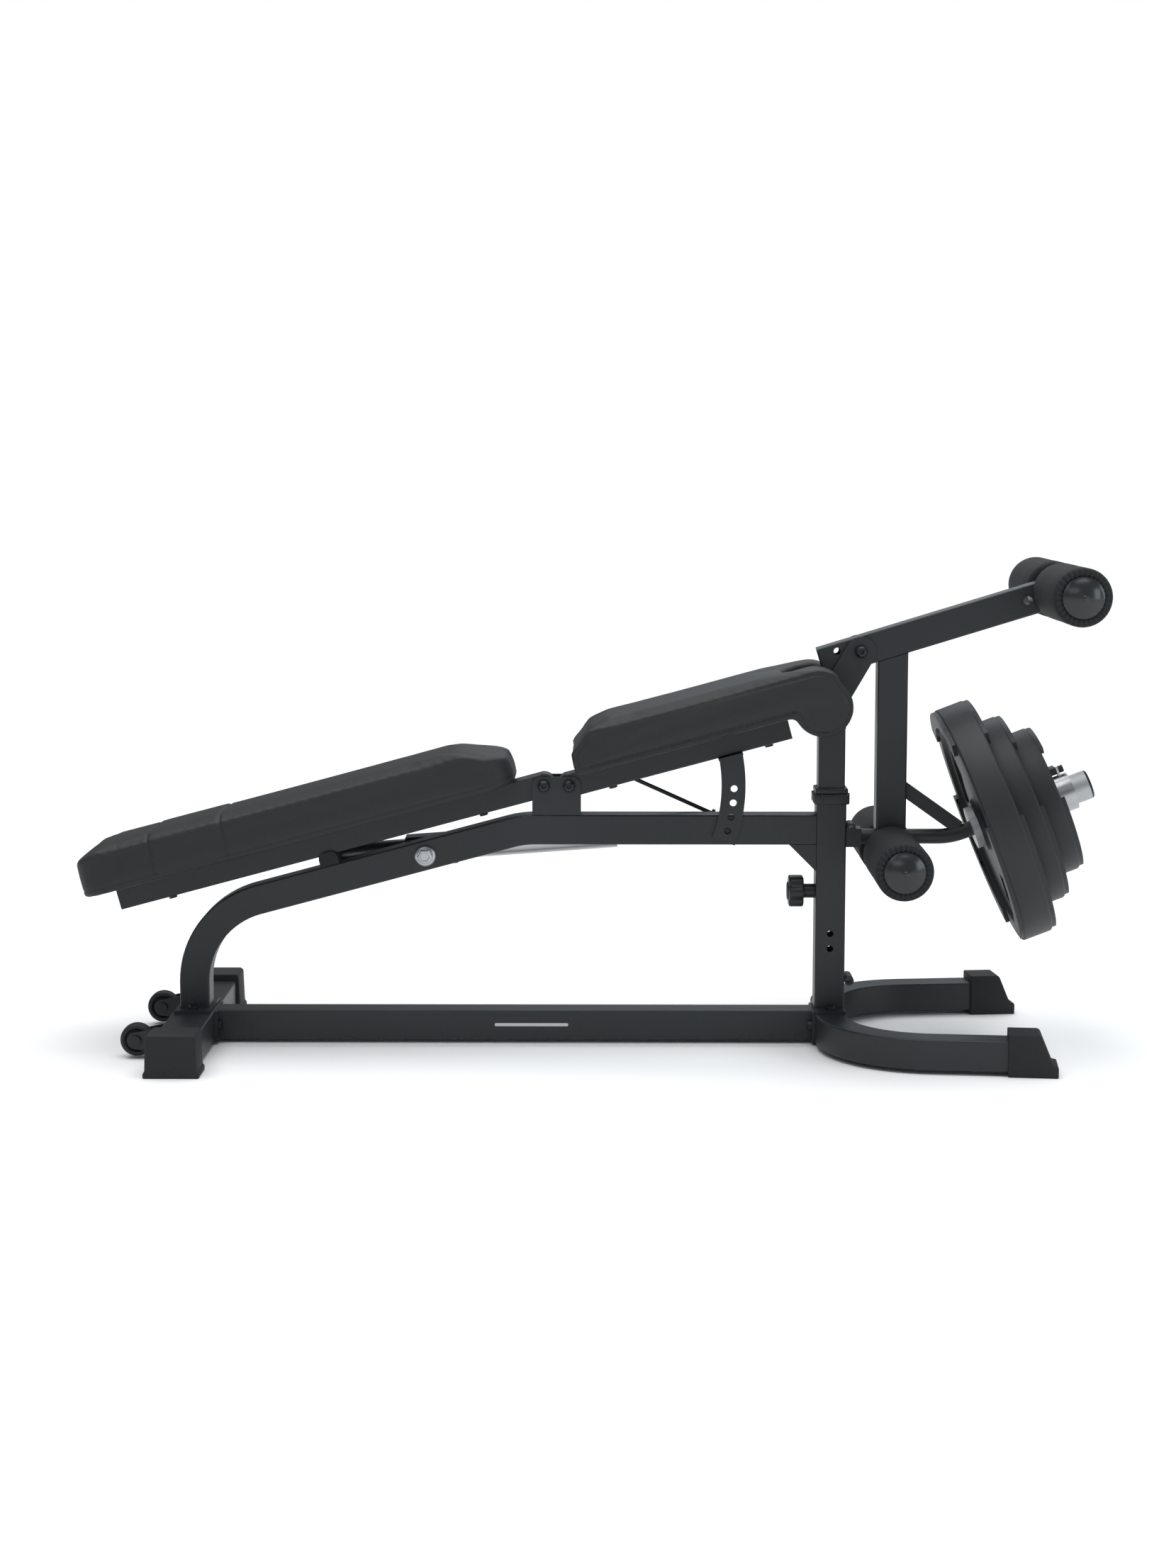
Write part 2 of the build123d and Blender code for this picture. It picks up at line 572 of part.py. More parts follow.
def clevis_plates():
    """Two plates that lean forward from the upright to the arm's pivot."""
    radius = 25.0
    lean = 60.0
    half = UPRIGHT / 2
    low = 535.0
    rise = tan(radians(lean))
    side = (radius * sin(radians(lean)), radius * cos(radians(lean)))
    right = (ARM_PIVOT_X + side[0], ARM_PIVOT_Z - side[1])
    left = (ARM_PIVOT_X - side[0], ARM_PIVOT_Z + side[1])
    outline = [(POST_X - half, low), (POST_X + half, low),
               (POST_X + half, right[1] - (right[0] - POST_X - half) * rise), right, left,
               (POST_X - half, left[1] - (left[0] - POST_X + half) * rise)]
    plate = plate_xz(outline, half, half + 5) + rod_y(ARM_PIVOT_X, ARM_PIVOT_Z, radius, half, half + 5)
    return both_sides(plate - rod_y(ARM_PIVOT_X, ARM_PIVOT_Z, PIVOT_BOLT_R, half - 1, half + 6))


def arm_pivot_bolt():
    return cross_bolt(ARM_PIVOT_X, ARM_PIVOT_Z, PIVOT_BOLT_R, UPRIGHT / 2 + 5, 7, 11)


def post_knob():
    face = POST_X - FRAME / 2 - 19.5
    return Pos(face, 0, KNOB_Z) * Rot(0, -90, 0) * pull_knob(27.5, 26, POST_X - UPRIGHT / 2 - 0.8 - face)


def arm_tube():
    tube = tube_between(ARM_REAR, ARM_FRONT - 3, ARM_WIDTH, ARM_DEPTH)
    tube -= rod_y(0, 0, PIVOT_BOLT_R + RUNNING, -30, 30)
    tube -= rod_y(*ARM_REAR_HOLE, 6.0, -30, 30)
    tube -= rod_y(UPPER_ROD, 0, CORE_R, -30, 30)
    tube -= rod_y(SPARE_SLEEVE, 0, SPARE_R, -30, 30)
    tube += block(ARM_FRONT - 3, ARM_FRONT, -ARM_WIDTH / 2, ARM_WIDTH / 2, -ARM_DEPTH / 2, ARM_DEPTH / 2)
    return ARM_FRAME * tube


def horn_path():
    points = [(HORN_START_X, 0, HORN_Z), (HORN_BEND_X, 0, HORN_Z),
              (WEIGHT_X - 12 * HORN_AXIS[0], 0, WEIGHT_Z - 12 * HORN_AXIS[2])]
    return FilletPolyline(*points, radius=HORN_BEND_RADIUS)


def horn_solid(radius):
    plane = Plane(origin=(HORN_START_X, 0, HORN_Z), z_dir=(1, 0, 0))
    return sweep(plane * Circle(radius), path=horn_path())


def arm_drop_tube():
    tube = upright_tube(DROP_X, HORN_Z, ARM_PIVOT_Z + 40, FRAME, ARM_WIDTH)
    above = ARM_FRAME * block(-200, 500, -60, 60, -ARM_DEPTH / 2, 200)
    return tube - above - horn_solid(HORN_R)


def horn_tube():
    return horn_solid(HORN_R) - horn_solid(HORN_R - WALL)


def horn_brace():
    """Diagonal bar from the drop tube to the horn's bend."""
    x0 = DROP_X + FRAME / 2
    z0 = 430.0
    x1 = 625.0
    z1 = 366.0
    slope = degrees(atan2(z1 - z0, x1 - x0))
    bar = place(x0, z0, slope) * block(-20, hypot(x1 - x0, z1 - z0), -7, 7, -11.5, 11.5)
    bar -= block(x0 - 60, x0, -40, 40, 300, 500)
    bar -= horn_solid(HORN_R)
    return bar.solids().sort_by(SortBy.VOLUME)[-1]


def stop_block():
    """Bumper at the horn's inner end, with a small cross tube for a pin."""
    x0 = POST_X + FRAME / 2 + 0.4
    bumper = block(x0, HORN_START_X, -19, 19, 335, 366)
    bumper += rod_y(x0 + 8.5, 368, 7.5, -21, 21)
    return bumper - rod_y(x0 + 8.5, 368, 4.2, -25, 25)


def roller_sleeves():
    """Welded cross sleeves: lower rod, upper rod and a spare hole."""
    lower = ring_y(DROP_X, LOWER_ROD_Z, CORE_R, ROD_R, -25, 25) - horn_solid(HORN_R)
    upper_x, upper_z = point_on(ARM_FRAME, UPPER_ROD, 0)
    spare_x, spare_z = point_on(ARM_FRAME, SPARE_SLEEVE, 0)
    upper = ring_y(upper_x, upper_z, CORE_R, ROD_R, -25, 25)
    spare = ring_y(spare_x, spare_z, SPARE_R, SPARE_R - 3, -24, 24)
    return Compound([lower, upper, spare])


def roller_rods():
    end = ROLLER_OUTER - 4
    return Compound([rod_y(x, z, ROD_R, -end, end) for x, z in ROD_SPOTS.values()])


def foam_roller(x, z, side):
    foam = ring_y(x, z, ROLLER_R, CORE_R, ROLLER_INNER, ROLLER_OUTER)
    return foam if side > 0 else mirror_y(foam)


def roller_cap(x, z, side):
    """Core tube of a roller with the domed cap on its outer end."""
    cap = ring_y(x, z, CORE_R, ROD_R + RUNNING, ROLLER_INNER - 1, ROLLER_OUTER)
    rise = 12.0
    sphere_r = (DOME_R ** 2 + rise ** 2) / (2 * rise)
    dome = Pos(x, ROLLER_OUTER + rise - sphere_r, z) * Sphere(sphere_r)
    dome &= rod_y(x, z, DOME_R, ROLLER_OUTER, ROLLER_OUTER + rise + 1)
    cap += dome
    return cap if side > 0 else mirror_y(cap)


def weight_sleeve():
    flange = rod_x(0, 0, 36, -12, 0)
    sleeve = rod_x(0, 0, SLEEVE_R, -1, SLEEVE_LENGTH)
    bore = rod_x(0, 0, SLEEVE_R - 4, 20, SLEEVE_LENGTH + 1)
    return WEIGHT_FRAME * (flange + sleeve - bore)


def sleeve_end_cap():
    cap = rod_x(0, 0, SLEEVE_R - 0.3, SLEEVE_LENGTH, SLEEVE_LENGTH + 4)
    cap = chamfer(cap.edges().group_by(Axis.X)[-1], 2)
    return WEIGHT_FRAME * (cap + rod_x(0, 0, SLEEVE_R - 4, SLEEVE_LENGTH - 12, SLEEVE_LENGTH + 1))


def plate_stations():
    """Start of each plate and of the collar along the weight sleeve."""
    stations = {}
    start = PLATE_GAP
    for name, (_, thickness) in PLATES.items():
        stations[name] = start
        start += thickness + PLATE_GAP
    stations["spring_collar"] = start
    return stations


def weight_plate(name):
    """Disc with a raised rim and hub, recessed web on both faces and three grips."""
    radius, thickness = PLATES[name]
    start = plate_stations()[name]
    disc = rod_x(0, 0, radius, 0, thickness)
    disc = fillet(disc.edges(), 5)
    rim = radius * 0.84
    hub = 44.0
    for low, high in ((-1, PLATE_RECESS), (thickness - PLATE_RECESS, thickness + 1)):
        disc -= rod_x(0, 0, rim, low, high) - rod_x(0, 0, hub, low - 1, high + 1)
    grip = (rim + hub) / 2 + 0.1 * radius
    slot = Box(thickness + 4, radius * 0.42, (rim - hub) * 0.44)
    for turn in GRIP_TURNS:
        disc -= Pos(thickness / 2, 0, 0) * Rot(turn, 0, 0) * Pos(0, 0, grip) * slot
    disc -= rod_x(0, 0, BORE_R, -1, thickness + 1)
    return WEIGHT_FRAME * Pos(start, 0, 0) * disc


def spring_collar():
    """Split collar with two lugs that hold its clamping lever."""
    start = plate_stations()["spring_collar"]
    end = start + COLLAR_WIDTH
    ring = rod_x(0, 0, COLLAR_R - 5, start, end) + rod_x(0, 0, COLLAR_R, start, start + 4)
    ring -= rod_x(0, 0, BORE_R, start - 1, end + 1)
    middle = start + COLLAR_LEVER
    lug = 3.5
    for low in (middle - LEVER_HALF - 0.3 - lug, middle + LEVER_HALF + 0.3):
        ring += block(low, low + lug, -6, 6, COLLAR_R - 8, LEVER_HEIGHT + 5)
    return WEIGHT_FRAME * (ring - rod_x(0, LEVER_HEIGHT, 2.5, start, end))


def collar_lever():
    """Cam lever of the collar, lying back along its rim, and its pin with a turned end."""
    start = plate_stations()["spring_collar"]
    middle = start + COLLAR_LEVER
    low = LEVER_HEIGHT - LEVER_HALF
    high = LEVER_HEIGHT + LEVER_HALF
    lever = block(middle - LEVER_HALF, middle + LEVER_HALF, -5, 26, low, high)
    lever = fillet(lever.edges().filter_by(Axis.X), 4)
    lug_end = middle + LEVER_HALF + 4.3
    pin = rod_x(0, LEVER_HEIGHT, 2.45, start + 4, lug_end) + rod_x(0, LEVER_HEIGHT, 6, lug_end, lug_end + 8)
    return WEIGHT_FRAME * (lever + pin)


# ---- wheels -------------------------------------------------------------------------
def wheel(side):
    y0 = WHEEL_Y - WHEEL_WIDTH / 2
    body = fillet(rod_y(WHEEL_X, WHEEL_Z, WHEEL_R, y0, y0 + WHEEL_WIDTH).edges(), 3)
    for low, high in ((y0 - 1, y0 + 3), (y0 + WHEEL_WIDTH - 3, y0 + WHEEL_WIDTH + 1)):
        body -= rod_y(WHEEL_X, WHEEL_Z, 19, low, high) - rod_y(WHEEL_X, WHEEL_Z, 9, low - 1, high + 1)
    body -= rod_y(WHEEL_X, WHEEL_Z, 5.0 + RUNNING, y0 - 1, y0 + WHEEL_WIDTH + 1)
    return body if side > 0 else mirror_y(body)


# ---- the assembly -------------------------------------------------------------------
SIDES = {"near": -1, "far": 1}


def build_nodes():
    makers = [rear_cross_tube, rear_foot_caps, floor_beam, bolting_plates, front_u_foot, front_foot_caps,
              front_post, frame_tube, rail_gusset, post_collar, hinge_bracket, pivot_bolts, backrest_rest,
              wheel_brackets, frame_bolts, band_peg, pin_barrels, rod_guide, backrest_tube, backrest_pad,
              backrest_pad_bolts, strut_lug, strut_tube, strut_end_pin, strut_sleeve, strut_lock_pin,
              seat_tube, seat_pad, seat_arc_bracket, seat_bolts, seat_stay_rod, seat_lock_pin,
              leg_upright, clevis_plates, arm_pivot_bolt, post_knob, arm_tube, arm_drop_tube, horn_tube,
              horn_brace, stop_block, roller_sleeves, roller_rods, weight_sleeve, sleeve_end_cap,
              spring_collar, collar_lever]
    nodes = {maker.__name__: maker() for maker in makers}
    for name in PLATES:
        nodes[name] = weight_plate(name)
    for side_name, side in SIDES.items():
        nodes["wheel_" + side_name] = wheel(side)
        for level, (x, z) in ROD_SPOTS.items():
            nodes[f"foam_roller_{level}_{side_name}"] = foam_roller(x, z, side)
            nodes[f"roller_cap_{level}_{side_name}"] = roller_cap(x, z, side)
    return nodes


os.makedirs("parts", exist_ok=True)
if __name__ == "__main__":
    for node, shape in build_nodes().items():
        export_step(shape, f"parts/{node}.step")
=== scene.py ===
import json
import math

import bmesh
import bpy
import numpy as np
from bpy.props import FloatProperty, FloatVectorProperty, IntProperty, PointerProperty
from mathutils import Matrix, Vector


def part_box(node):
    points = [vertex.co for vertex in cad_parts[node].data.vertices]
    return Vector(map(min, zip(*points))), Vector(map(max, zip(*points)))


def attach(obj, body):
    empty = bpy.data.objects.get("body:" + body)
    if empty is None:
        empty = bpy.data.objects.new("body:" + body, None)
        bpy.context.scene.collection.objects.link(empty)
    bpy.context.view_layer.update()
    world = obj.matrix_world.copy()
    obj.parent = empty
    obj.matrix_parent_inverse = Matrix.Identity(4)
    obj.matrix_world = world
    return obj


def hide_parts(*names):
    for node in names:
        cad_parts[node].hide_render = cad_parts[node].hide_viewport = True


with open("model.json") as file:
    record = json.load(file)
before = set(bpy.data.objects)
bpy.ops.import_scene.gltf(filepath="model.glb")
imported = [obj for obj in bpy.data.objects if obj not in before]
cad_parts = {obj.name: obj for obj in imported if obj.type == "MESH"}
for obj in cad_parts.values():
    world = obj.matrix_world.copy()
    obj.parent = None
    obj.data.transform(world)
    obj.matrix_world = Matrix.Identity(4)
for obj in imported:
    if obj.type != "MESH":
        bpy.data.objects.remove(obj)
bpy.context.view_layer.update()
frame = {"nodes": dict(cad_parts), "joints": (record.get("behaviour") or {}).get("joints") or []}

bl_info = {
    "name": "Adjustable Bench Finish",
    "version": (1, 0, 0),
    "blender": (4, 5, 0),
    "location": "View3D > Sidebar > Bench",
    "description": "Cushions, rollers, weight plates and finishes of an adjustable exercise bench",
    "category": "Object",
}

MM = 0.001
SLOPE = math.radians(15)
JOINTS = {joint["name"]: joint for joint in frame["joints"]}


# ---- places taken from the frame ----------------------------------------------------
def joint_place(name):
    return Vector(JOINTS[name]["pos_m"])


def sloped(origin, slope):
    """Local X climbs towards +X, local Y is across the bench and local Z stands off the slope."""
    matrix = Matrix.Rotation(-slope, 4, "Y")
    matrix.translation = origin
    return matrix


def along_axis(origin, direction):
    """Local X runs along a direction, and local Z stays as high as it can."""
    x = Vector(direction).normalized()
    y = Vector((0, 0, 1)).cross(x).normalized()
    matrix = Matrix((x, y, x.cross(y))).transposed().to_4x4()
    matrix.translation = origin
    return matrix


BACK = sloped(joint_place("backrest_tilt"), SLOPE)
SEAT = sloped(joint_place("seat_tilt"), SLOPE)
WEIGHT = along_axis(joint_place("plate_large_spin"), JOINTS["plate_large_spin"]["axis"])


# ---- shader maths -------------------------------------------------------------------
class Sock:
    """One output of a node; arithmetic on it adds Math nodes."""

    def __init__(self, paint, output):
        self.paint = paint
        self.output = output

    def maths(self, operation, first, second):
        return self.paint.node("ShaderNodeMath", {"operation": operation}, {0: first, 1: second})

    def __add__(self, other):
        return self.maths("ADD", self, other)

    def __mul__(self, other):
        return self.maths("MULTIPLY", self, other)


class Paint:
    """One finish: a Principled shader and the nodes that feed it."""

    def __init__(self, name, **fixed):
        self.material = bpy.data.materials.new(name)
        self.material.use_nodes = True
        self.tree = self.material.node_tree
        self.shader = self.tree.nodes["Principled BSDF"]
        for socket, value in fixed.items():
            self.shader.inputs[socket.replace("_", " ")].default_value = value
        self.place = self.node("ShaderNodeTexCoord", {}, {}, "Object")

    def node(self, kind, settings, inputs, output=0):
        made = self.tree.nodes.new(kind)
        for key, value in settings.items():
            setattr(made, key, value)
        for key, value in inputs.items():
            if isinstance(value, Sock):
                self.tree.links.new(value.output, made.inputs[key])
            else:
                made.inputs[key].default_value = value
        return Sock(self, made.outputs[output])

    def noise(self, scale, detail=3.0, rough=0.5):
        inputs = {"Vector": self.place, "Scale": scale, "Detail": detail, "Roughness": rough}
        return self.node("ShaderNodeTexNoise", {}, inputs, "Fac")

    def cells(self, scale):
        return self.node("ShaderNodeTexVoronoi", {}, {"Vector": self.place, "Scale": scale}, "Distance")

    def between(self, value, low, high):
        """The value's own range from low to high, as 0 to 1."""
        limits = {"Value": value, "From Min": low, "From Max": high}
        return self.node("ShaderNodeMapRange", {}, limits, "Result")

    def blend(self, share, first, second):
        mixed = self.node("ShaderNodeMix", {"data_type": "RGBA"}, {"Factor": share}, 2)
        node = mixed.output.node
        for index, colour in ((6, first), (7, second)):
            if isinstance(colour, Sock):
                self.tree.links.new(colour.output, node.inputs[index])
            else:
                node.inputs[index].default_value = (*colour, 1)
        return mixed

    def bump(self, height, depth, strength):
        inputs = {"Height": height, "Distance": depth, "Strength": strength}
        return self.node("ShaderNodeBump", {}, inputs, "Normal")

    def wear(self, **sockets):
        for name, value in sockets.items():
            self.tree.links.new(value.output, self.shader.inputs[name.replace("_", " ")])
        return self.material


def shade(colour, factor):
    return tuple(channel * factor for channel in colour)


def powder_coat(name, colour):
    """Satin powder coat: a fine orange peel, slow mottling and a few dull rubbed spots."""
    paint = Paint(name, Coat_Roughness=0.3, Specular_IOR_Level=0.42)
    mottle = paint.noise(9, 4)
    peel = paint.noise(850, 2)
    rub = paint.between(paint.noise(38, 6, 0.7), 0.62, 0.78)
    base = paint.blend(mottle, shade(colour, 0.85), shade(colour, 1.18))
    return paint.wear(Base_Color=paint.blend(rub * 0.35, base, shade(colour, 1.7)),
                      Roughness=mottle * 0.08 + peel * 0.06 + rub * 0.1 + 0.36,
                      Normal=paint.bump(peel, 0.25 * MM, 0.5))


def vinyl(name, colour):
    """Upholstery vinyl: small pebbled cells with finer creases between them."""
    paint = Paint(name, Specular_IOR_Level=0.4)
    cells = paint.cells(620)
    fine = paint.noise(1900, 3)
    broad = paint.noise(7, 3)
    grain = cells * 0.8 + fine * 0.35
    tint = cells * 0.6 + broad * 0.4
    return paint.wear(Base_Color=paint.blend(tint, shade(colour, 0.8), shade(colour, 1.3)),
                      Roughness=broad * 0.1 + cells * 0.12 + 0.47,
                      Normal=paint.bump(grain, 0.35 * MM, 0.55))


def moulded(name, colour, roughness, grain=0.15, scale=700):
    """Moulded rubber or plastic: spark-eroded grain and slow changes of gloss."""
    paint = Paint(name, Specular_IOR_Level=0.4)
    texture = paint.noise(scale, 4, 0.6)
    broad = paint.noise(16, 3)
    dust = paint.between(paint.noise(90, 7, 0.75), 0.6, 0.85)
    base = paint.blend(broad, shade(colour, 0.85), shade(colour, 1.15))
    return paint.wear(Base_Color=paint.blend(dust * 0.25, base, shade(colour, 2.0)),
                      Roughness=texture * 0.12 + broad * 0.08 + (roughness - 0.1),
                      Normal=paint.bump(texture, grain * MM, 0.6))


def skinned_foam(name, colour):
    """Closed-cell foam with a rubbed skin."""
    paint = Paint(name, Specular_IOR_Level=0.3)
    pores = paint.cells(900)
    lumps = paint.noise(55, 4)
    base = paint.blend(lumps * 0.6 + pores * 0.4, shade(colour, 0.75), shade(colour, 1.4))
    height = pores * 0.5 + lumps * 1.2
    return paint.wear(Base_Color=base, Roughness=lumps * 0.12 + pores * 0.1 + 0.66,
                      Normal=paint.bump(height, 0.5 * MM, 0.6))


def metal(name, colour, roughness, streak=0.0, depth=0.04):
    """Plated or polished steel with faint handling marks."""
    paint = Paint(name, Metallic=1.0)
    marks = paint.noise(140, 6, 0.65)
    fine = paint.noise(1500, 2)
    film = paint.noise(12, 3)
    return paint.wear(Base_Color=paint.blend(film, shade(colour, 0.93), colour),
                      Roughness=marks * (0.1 + streak) + film * 0.04 + roughness,
                      Normal=paint.bump(fine * 0.6 + marks * 0.4, depth * MM, 0.4))


def label_film(name, colour):
    """Printed film: satin, with a slight sheen change."""
    paint = Paint(name, Specular_IOR_Level=0.5)
    film = paint.noise(60, 3)
    return paint.wear(Base_Color=paint.blend(film, shade(colour, 0.95), shade(colour, 1.05)),
                      Roughness=film * 0.1 + 0.3, Normal=paint.bump(film, 0.03 * MM, 0.3))


def studio_floor(name):
    paint = Paint(name, Roughness=0.6, Specular_IOR_Level=0.15)
    broad = paint.noise(2, 2)
    return paint.wear(Base_Color=paint.blend(broad, (0.93, 0.93, 0.93), (0.95, 0.95, 0.95)))


FINISHES = {}


def finishes():
    """Makes the finishes once, from the colours in the panel."""
    if FINISHES:
        return FINISHES
    tones = bpy.context.scene.bench_colours
    FINISHES.update(
        frame_paint=powder_coat("frame powder coat", tuple(tones.frame_paint)),
        vinyl=vinyl("cushion vinyl", tuple(tones.vinyl)),
        rubber=moulded("foot rubber", tuple(tones.rubber), 0.72, 0.25, 520),
        tyre=moulded("wheel tyre", tuple(tones.rubber), 0.6, 0.12, 900),
        plastic=moulded("moulded plastic", tuple(tones.plastic), 0.42, 0.08),
        # painted sheen: the dome finish is the knobs' plastic colour made 1.7 times lighter, standing
        # in for the highlight on the glossy caps
        dome=moulded("dome plastic with painted sheen", shade(tones.plastic, 1.7), 0.24, 0.01, 120),
        foam=skinned_foam("roller foam", tuple(tones.foam)),
        plate_rubber=moulded("plate rubber", tuple(tones.plate), 0.52, 0.12, 800),
        zinc=metal("zinc plate", tuple(tones.zinc), 0.26, 0.1, 0.06),
        dark_steel=metal("black oxide steel", (0.045, 0.047, 0.05), 0.36, 0.1, 0.05),
        chrome=metal("chrome", shade(tones.chrome, 0.74), 0.2, 0.08),
        brushed=metal("turned steel", shade(tones.chrome, 0.8), 0.34, 0.14, 0.1),
        label_dark=label_film("label ground", (0.008, 0.008, 0.009)),
        label_pale=label_film("label print", (0.55, 0.56, 0.57)),
    )
    return FINISHES


# ---- mesh helpers -------------------------------------------------------------------
def tidy(bm, weld=0.02 * MM):
    bmesh.ops.remove_doubles(bm, verts=bm.verts, dist=weld)
    bmesh.ops.recalc_face_normals(bm, faces=bm.faces)


def mesh_from(bm, name):
    """Turns a bmesh into a mesh and frees it."""
    mesh = bpy.data.meshes.new(name)
    bm.to_mesh(mesh)
    bm.free()
    return mesh


def new_piece(name, bm, body, finish, replaced=(), sharp=35.0):
    """Turns a bmesh that is already in place into a piece that rides on a body."""
    tidy(bm)
    piece_of(name, mesh_from(bm, name), body, finish, replaced, sharp)


def piece_of(name, mesh, body, finish, replaced=(), sharp=35.0):
    mesh.shade_smooth()
    mesh.set_sharp_from_angle(angle=math.radians(sharp))
    piece = bpy.data.objects.new(name, mesh)
    bpy.context.scene.collection.objects.link(piece)
    mesh.materials.clear()
    mesh.materials.append(finishes()[finish])
    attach(piece, body)
    if replaced:
        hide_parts(*replaced)
    return piece


def lathe(bm, profile, matrix, steps=96, closed=False, start=0.0, angle=2 * math.pi):
    """Turns a profile of (along, radius) points, in millimetres, round local X."""
    turn = Matrix.Rotation(start, 4, "X")
    made = [bm.verts.new(turn @ Vector((along * MM, 0, radius * MM))) for along, radius in profile]
    pairs = list(zip(made, made[1:]))
    if closed:
        pairs.append((made[-1], made[0]))
    edges = [bm.edges.new(pair) for pair in pairs]
    full = abs(angle - 2 * math.pi) < 1e-6
    geometry = made + edges
    if not full:
        geometry = geometry + [bm.faces.new(made)]
    before = set(bm.verts) - set(made)
    bmesh.ops.spin(bm, geom=geometry, cent=(0, 0, 0), axis=(1, 0, 0), dvec=(0, 0, 0), angle=angle,
                   steps=steps, use_merge=full, use_duplicate=False)
    verts = [vert for vert in bm.verts if vert not in before]
    bmesh.ops.remove_doubles(bm, verts=verts, dist=0.01 * MM)
    verts = [vert for vert in bm.verts if vert not in before]
    bmesh.ops.transform(bm, matrix=matrix, verts=verts)


def arc(centre, radius, first, last, count):
    """Points of an arc, in degrees, round a centre in the drawing plane."""
    along, up = centre
    turns = [math.radians(first + (last - first) * index / (count - 1)) for index in range(count)]
    return [(along + radius * math.cos(turn), up + radius * math.sin(turn)) for turn in turns]


def extruded(bm, faces, step):
    """Grows a solid from flat faces; gives the points and faces at its far end."""
    grown = bmesh.ops.extrude_face_region(bm, geom=faces, use_keep_orig=True)["geom"]
    top = [item for item in grown if isinstance(item, bmesh.types.BMVert)]
    bmesh.ops.translate(bm, verts=top, vec=step)
    return top, [item for item in grown if isinstance(item, bmesh.types.BMFace)]


def prism(bm, outline, low, high, matrix, plane="XZ"):
    """A closed solid from an outline in millimetres, between two levels across it."""
    def place(u, v, w):
        return Vector((u, w, v)) if plane == "XZ" else Vector((u, v, w))

    verts = [bm.verts.new(place(u, v, low) * MM) for u, v in outline]
    top, _ = extruded(bm, [bm.faces.new(verts)], place(0, 0, high - low) * MM)
    bmesh.ops.transform(bm, matrix=matrix, verts=verts + top)


def block(bm, size, matrix):
    """A box with its three sides in millimetres, centred on a matrix."""
    made = bmesh.ops.create_cube(bm, size=1.0)["verts"]
    scale = Matrix.Diagonal([side * MM for side in size] + [1])
    bmesh.ops.transform(bm, matrix=matrix @ scale, verts=made)


def soften(bm, width, segments=3, angle=30.0, edges=None):
    """Rounds the edges that turn by more than an angle."""
    bmesh.ops.recalc_face_normals(bm, faces=bm.faces)
    if edges is None:
        edges = [edge for edge in bm.edges
                 if len(edge.link_faces) == 2 and edge.calc_face_angle() > math.radians(angle)]
    bmesh.ops.bevel(bm, geom=edges, offset=width * MM, offset_type="OFFSET", affect="EDGES",
                    segments=segments, profile=0.5, material=-1, clamp_overlap=True)


def finished_mesh(piece):
    """The mesh of an object with its modifiers applied."""
    graph = bpy.context.evaluated_depsgraph_get()
    graph.update()
    return bpy.data.meshes.new_from_object(piece.evaluated_get(graph))


def scratch_object(name, mesh):
    piece = bpy.data.objects.new(name, mesh)
    bpy.context.scene.collection.objects.link(piece)
    return piece


def boolean(work, operation, tool, self_crossing=False):
    """Adds a boolean with a tool that may cross itself."""
    cut = work.modifiers.new(operation.lower(), "BOOLEAN")
    cut.operation = operation
    cut.solver = "EXACT"
    cut.use_self = self_crossing
    cut.object = tool


def drop(piece):
    bpy.data.objects.remove(piece, do_unlink=True)


def points_of(mesh):
    flat = np.empty(len(mesh.vertices) * 3)
    mesh.vertices.foreach_get("co", flat)
    return flat.reshape(-1, 3)


def normals_of(mesh):
    flat = np.empty(len(mesh.vertices) * 3)
    mesh.vertices.foreach_get("normal", flat)
    return flat.reshape(-1, 3)


def set_points(mesh, points):
    mesh.vertices.foreach_set("co", points.ravel())
    mesh.update()


def local_points(mesh, matrix):
    """The mesh's points in a local frame, in millimetres."""
    inverse = np.array(matrix.inverted())
    return (points_of(mesh) @ inverse[:3, :3].T + inverse[:3, 3]) / MM


# ---- cushions -----------------------------------------------------------------------
BOARD_HEIGHT = 30.0     # below this the cover is held by the board
SWELL_LIMIT = 5.0       # the furthest the cloth may move the cover
PRESSURE = 4.0
FIRMNESS = 0.5          # the share of the cloth's movement that is kept
CLOTH_FRAMES = 20
HEM_HEIGHT = 33.0


def remeshed(mesh, voxel):
    piece = scratch_object("cushion core", mesh)
    remesh = piece.modifiers.new("even faces", "REMESH")
    remesh.mode = "VOXEL"
    remesh.voxel_size = voxel * MM
    even = finished_mesh(piece)
    drop(piece)
    return even


def inflated(mesh, matrix):
    """Swells a cushion by cloth simulation; what lies round the board stays put."""
    piece = scratch_object("cushion cloth", mesh)
    start = points_of(mesh)
    height = local_points(mesh, matrix)[:, 2]
    group = piece.vertex_groups.new(name="board")
    group.add([int(index) for index in np.flatnonzero(height < BOARD_HEIGHT)], 1.0, "REPLACE")
    cloth = piece.modifiers.new("stuffing", "CLOTH")
    cloth.settings.quality = 5
    cloth.settings.mass = 0.3
    cloth.settings.tension_stiffness = 12
    cloth.settings.compression_stiffness = 12
    cloth.settings.bending_stiffness = 1.5
    cloth.settings.use_pressure = True
    cloth.settings.uniform_pressure_force = PRESSURE
    cloth.settings.vertex_group_mass = "board"
    cloth.settings.effector_weights.gravity = 0.0
    cloth.collision_settings.use_collision = False
    cloth.point_cache.frame_end = CLOTH_FRAMES
    for step in range(1, CLOTH_FRAMES + 1):
        bpy.context.scene.frame_set(step)
    swollen = finished_mesh(piece)
    moved = (points_of(swollen) - start) * FIRMNESS
    length = np.linalg.norm(moved, axis=1, keepdims=True)
    moved *= np.minimum(1.0, SWELL_LIMIT * MM / np.maximum(length, 1e-9))
    set_points(swollen, start + moved)
    bpy.context.scene.frame_set(1)
    drop(piece)
    return swollen


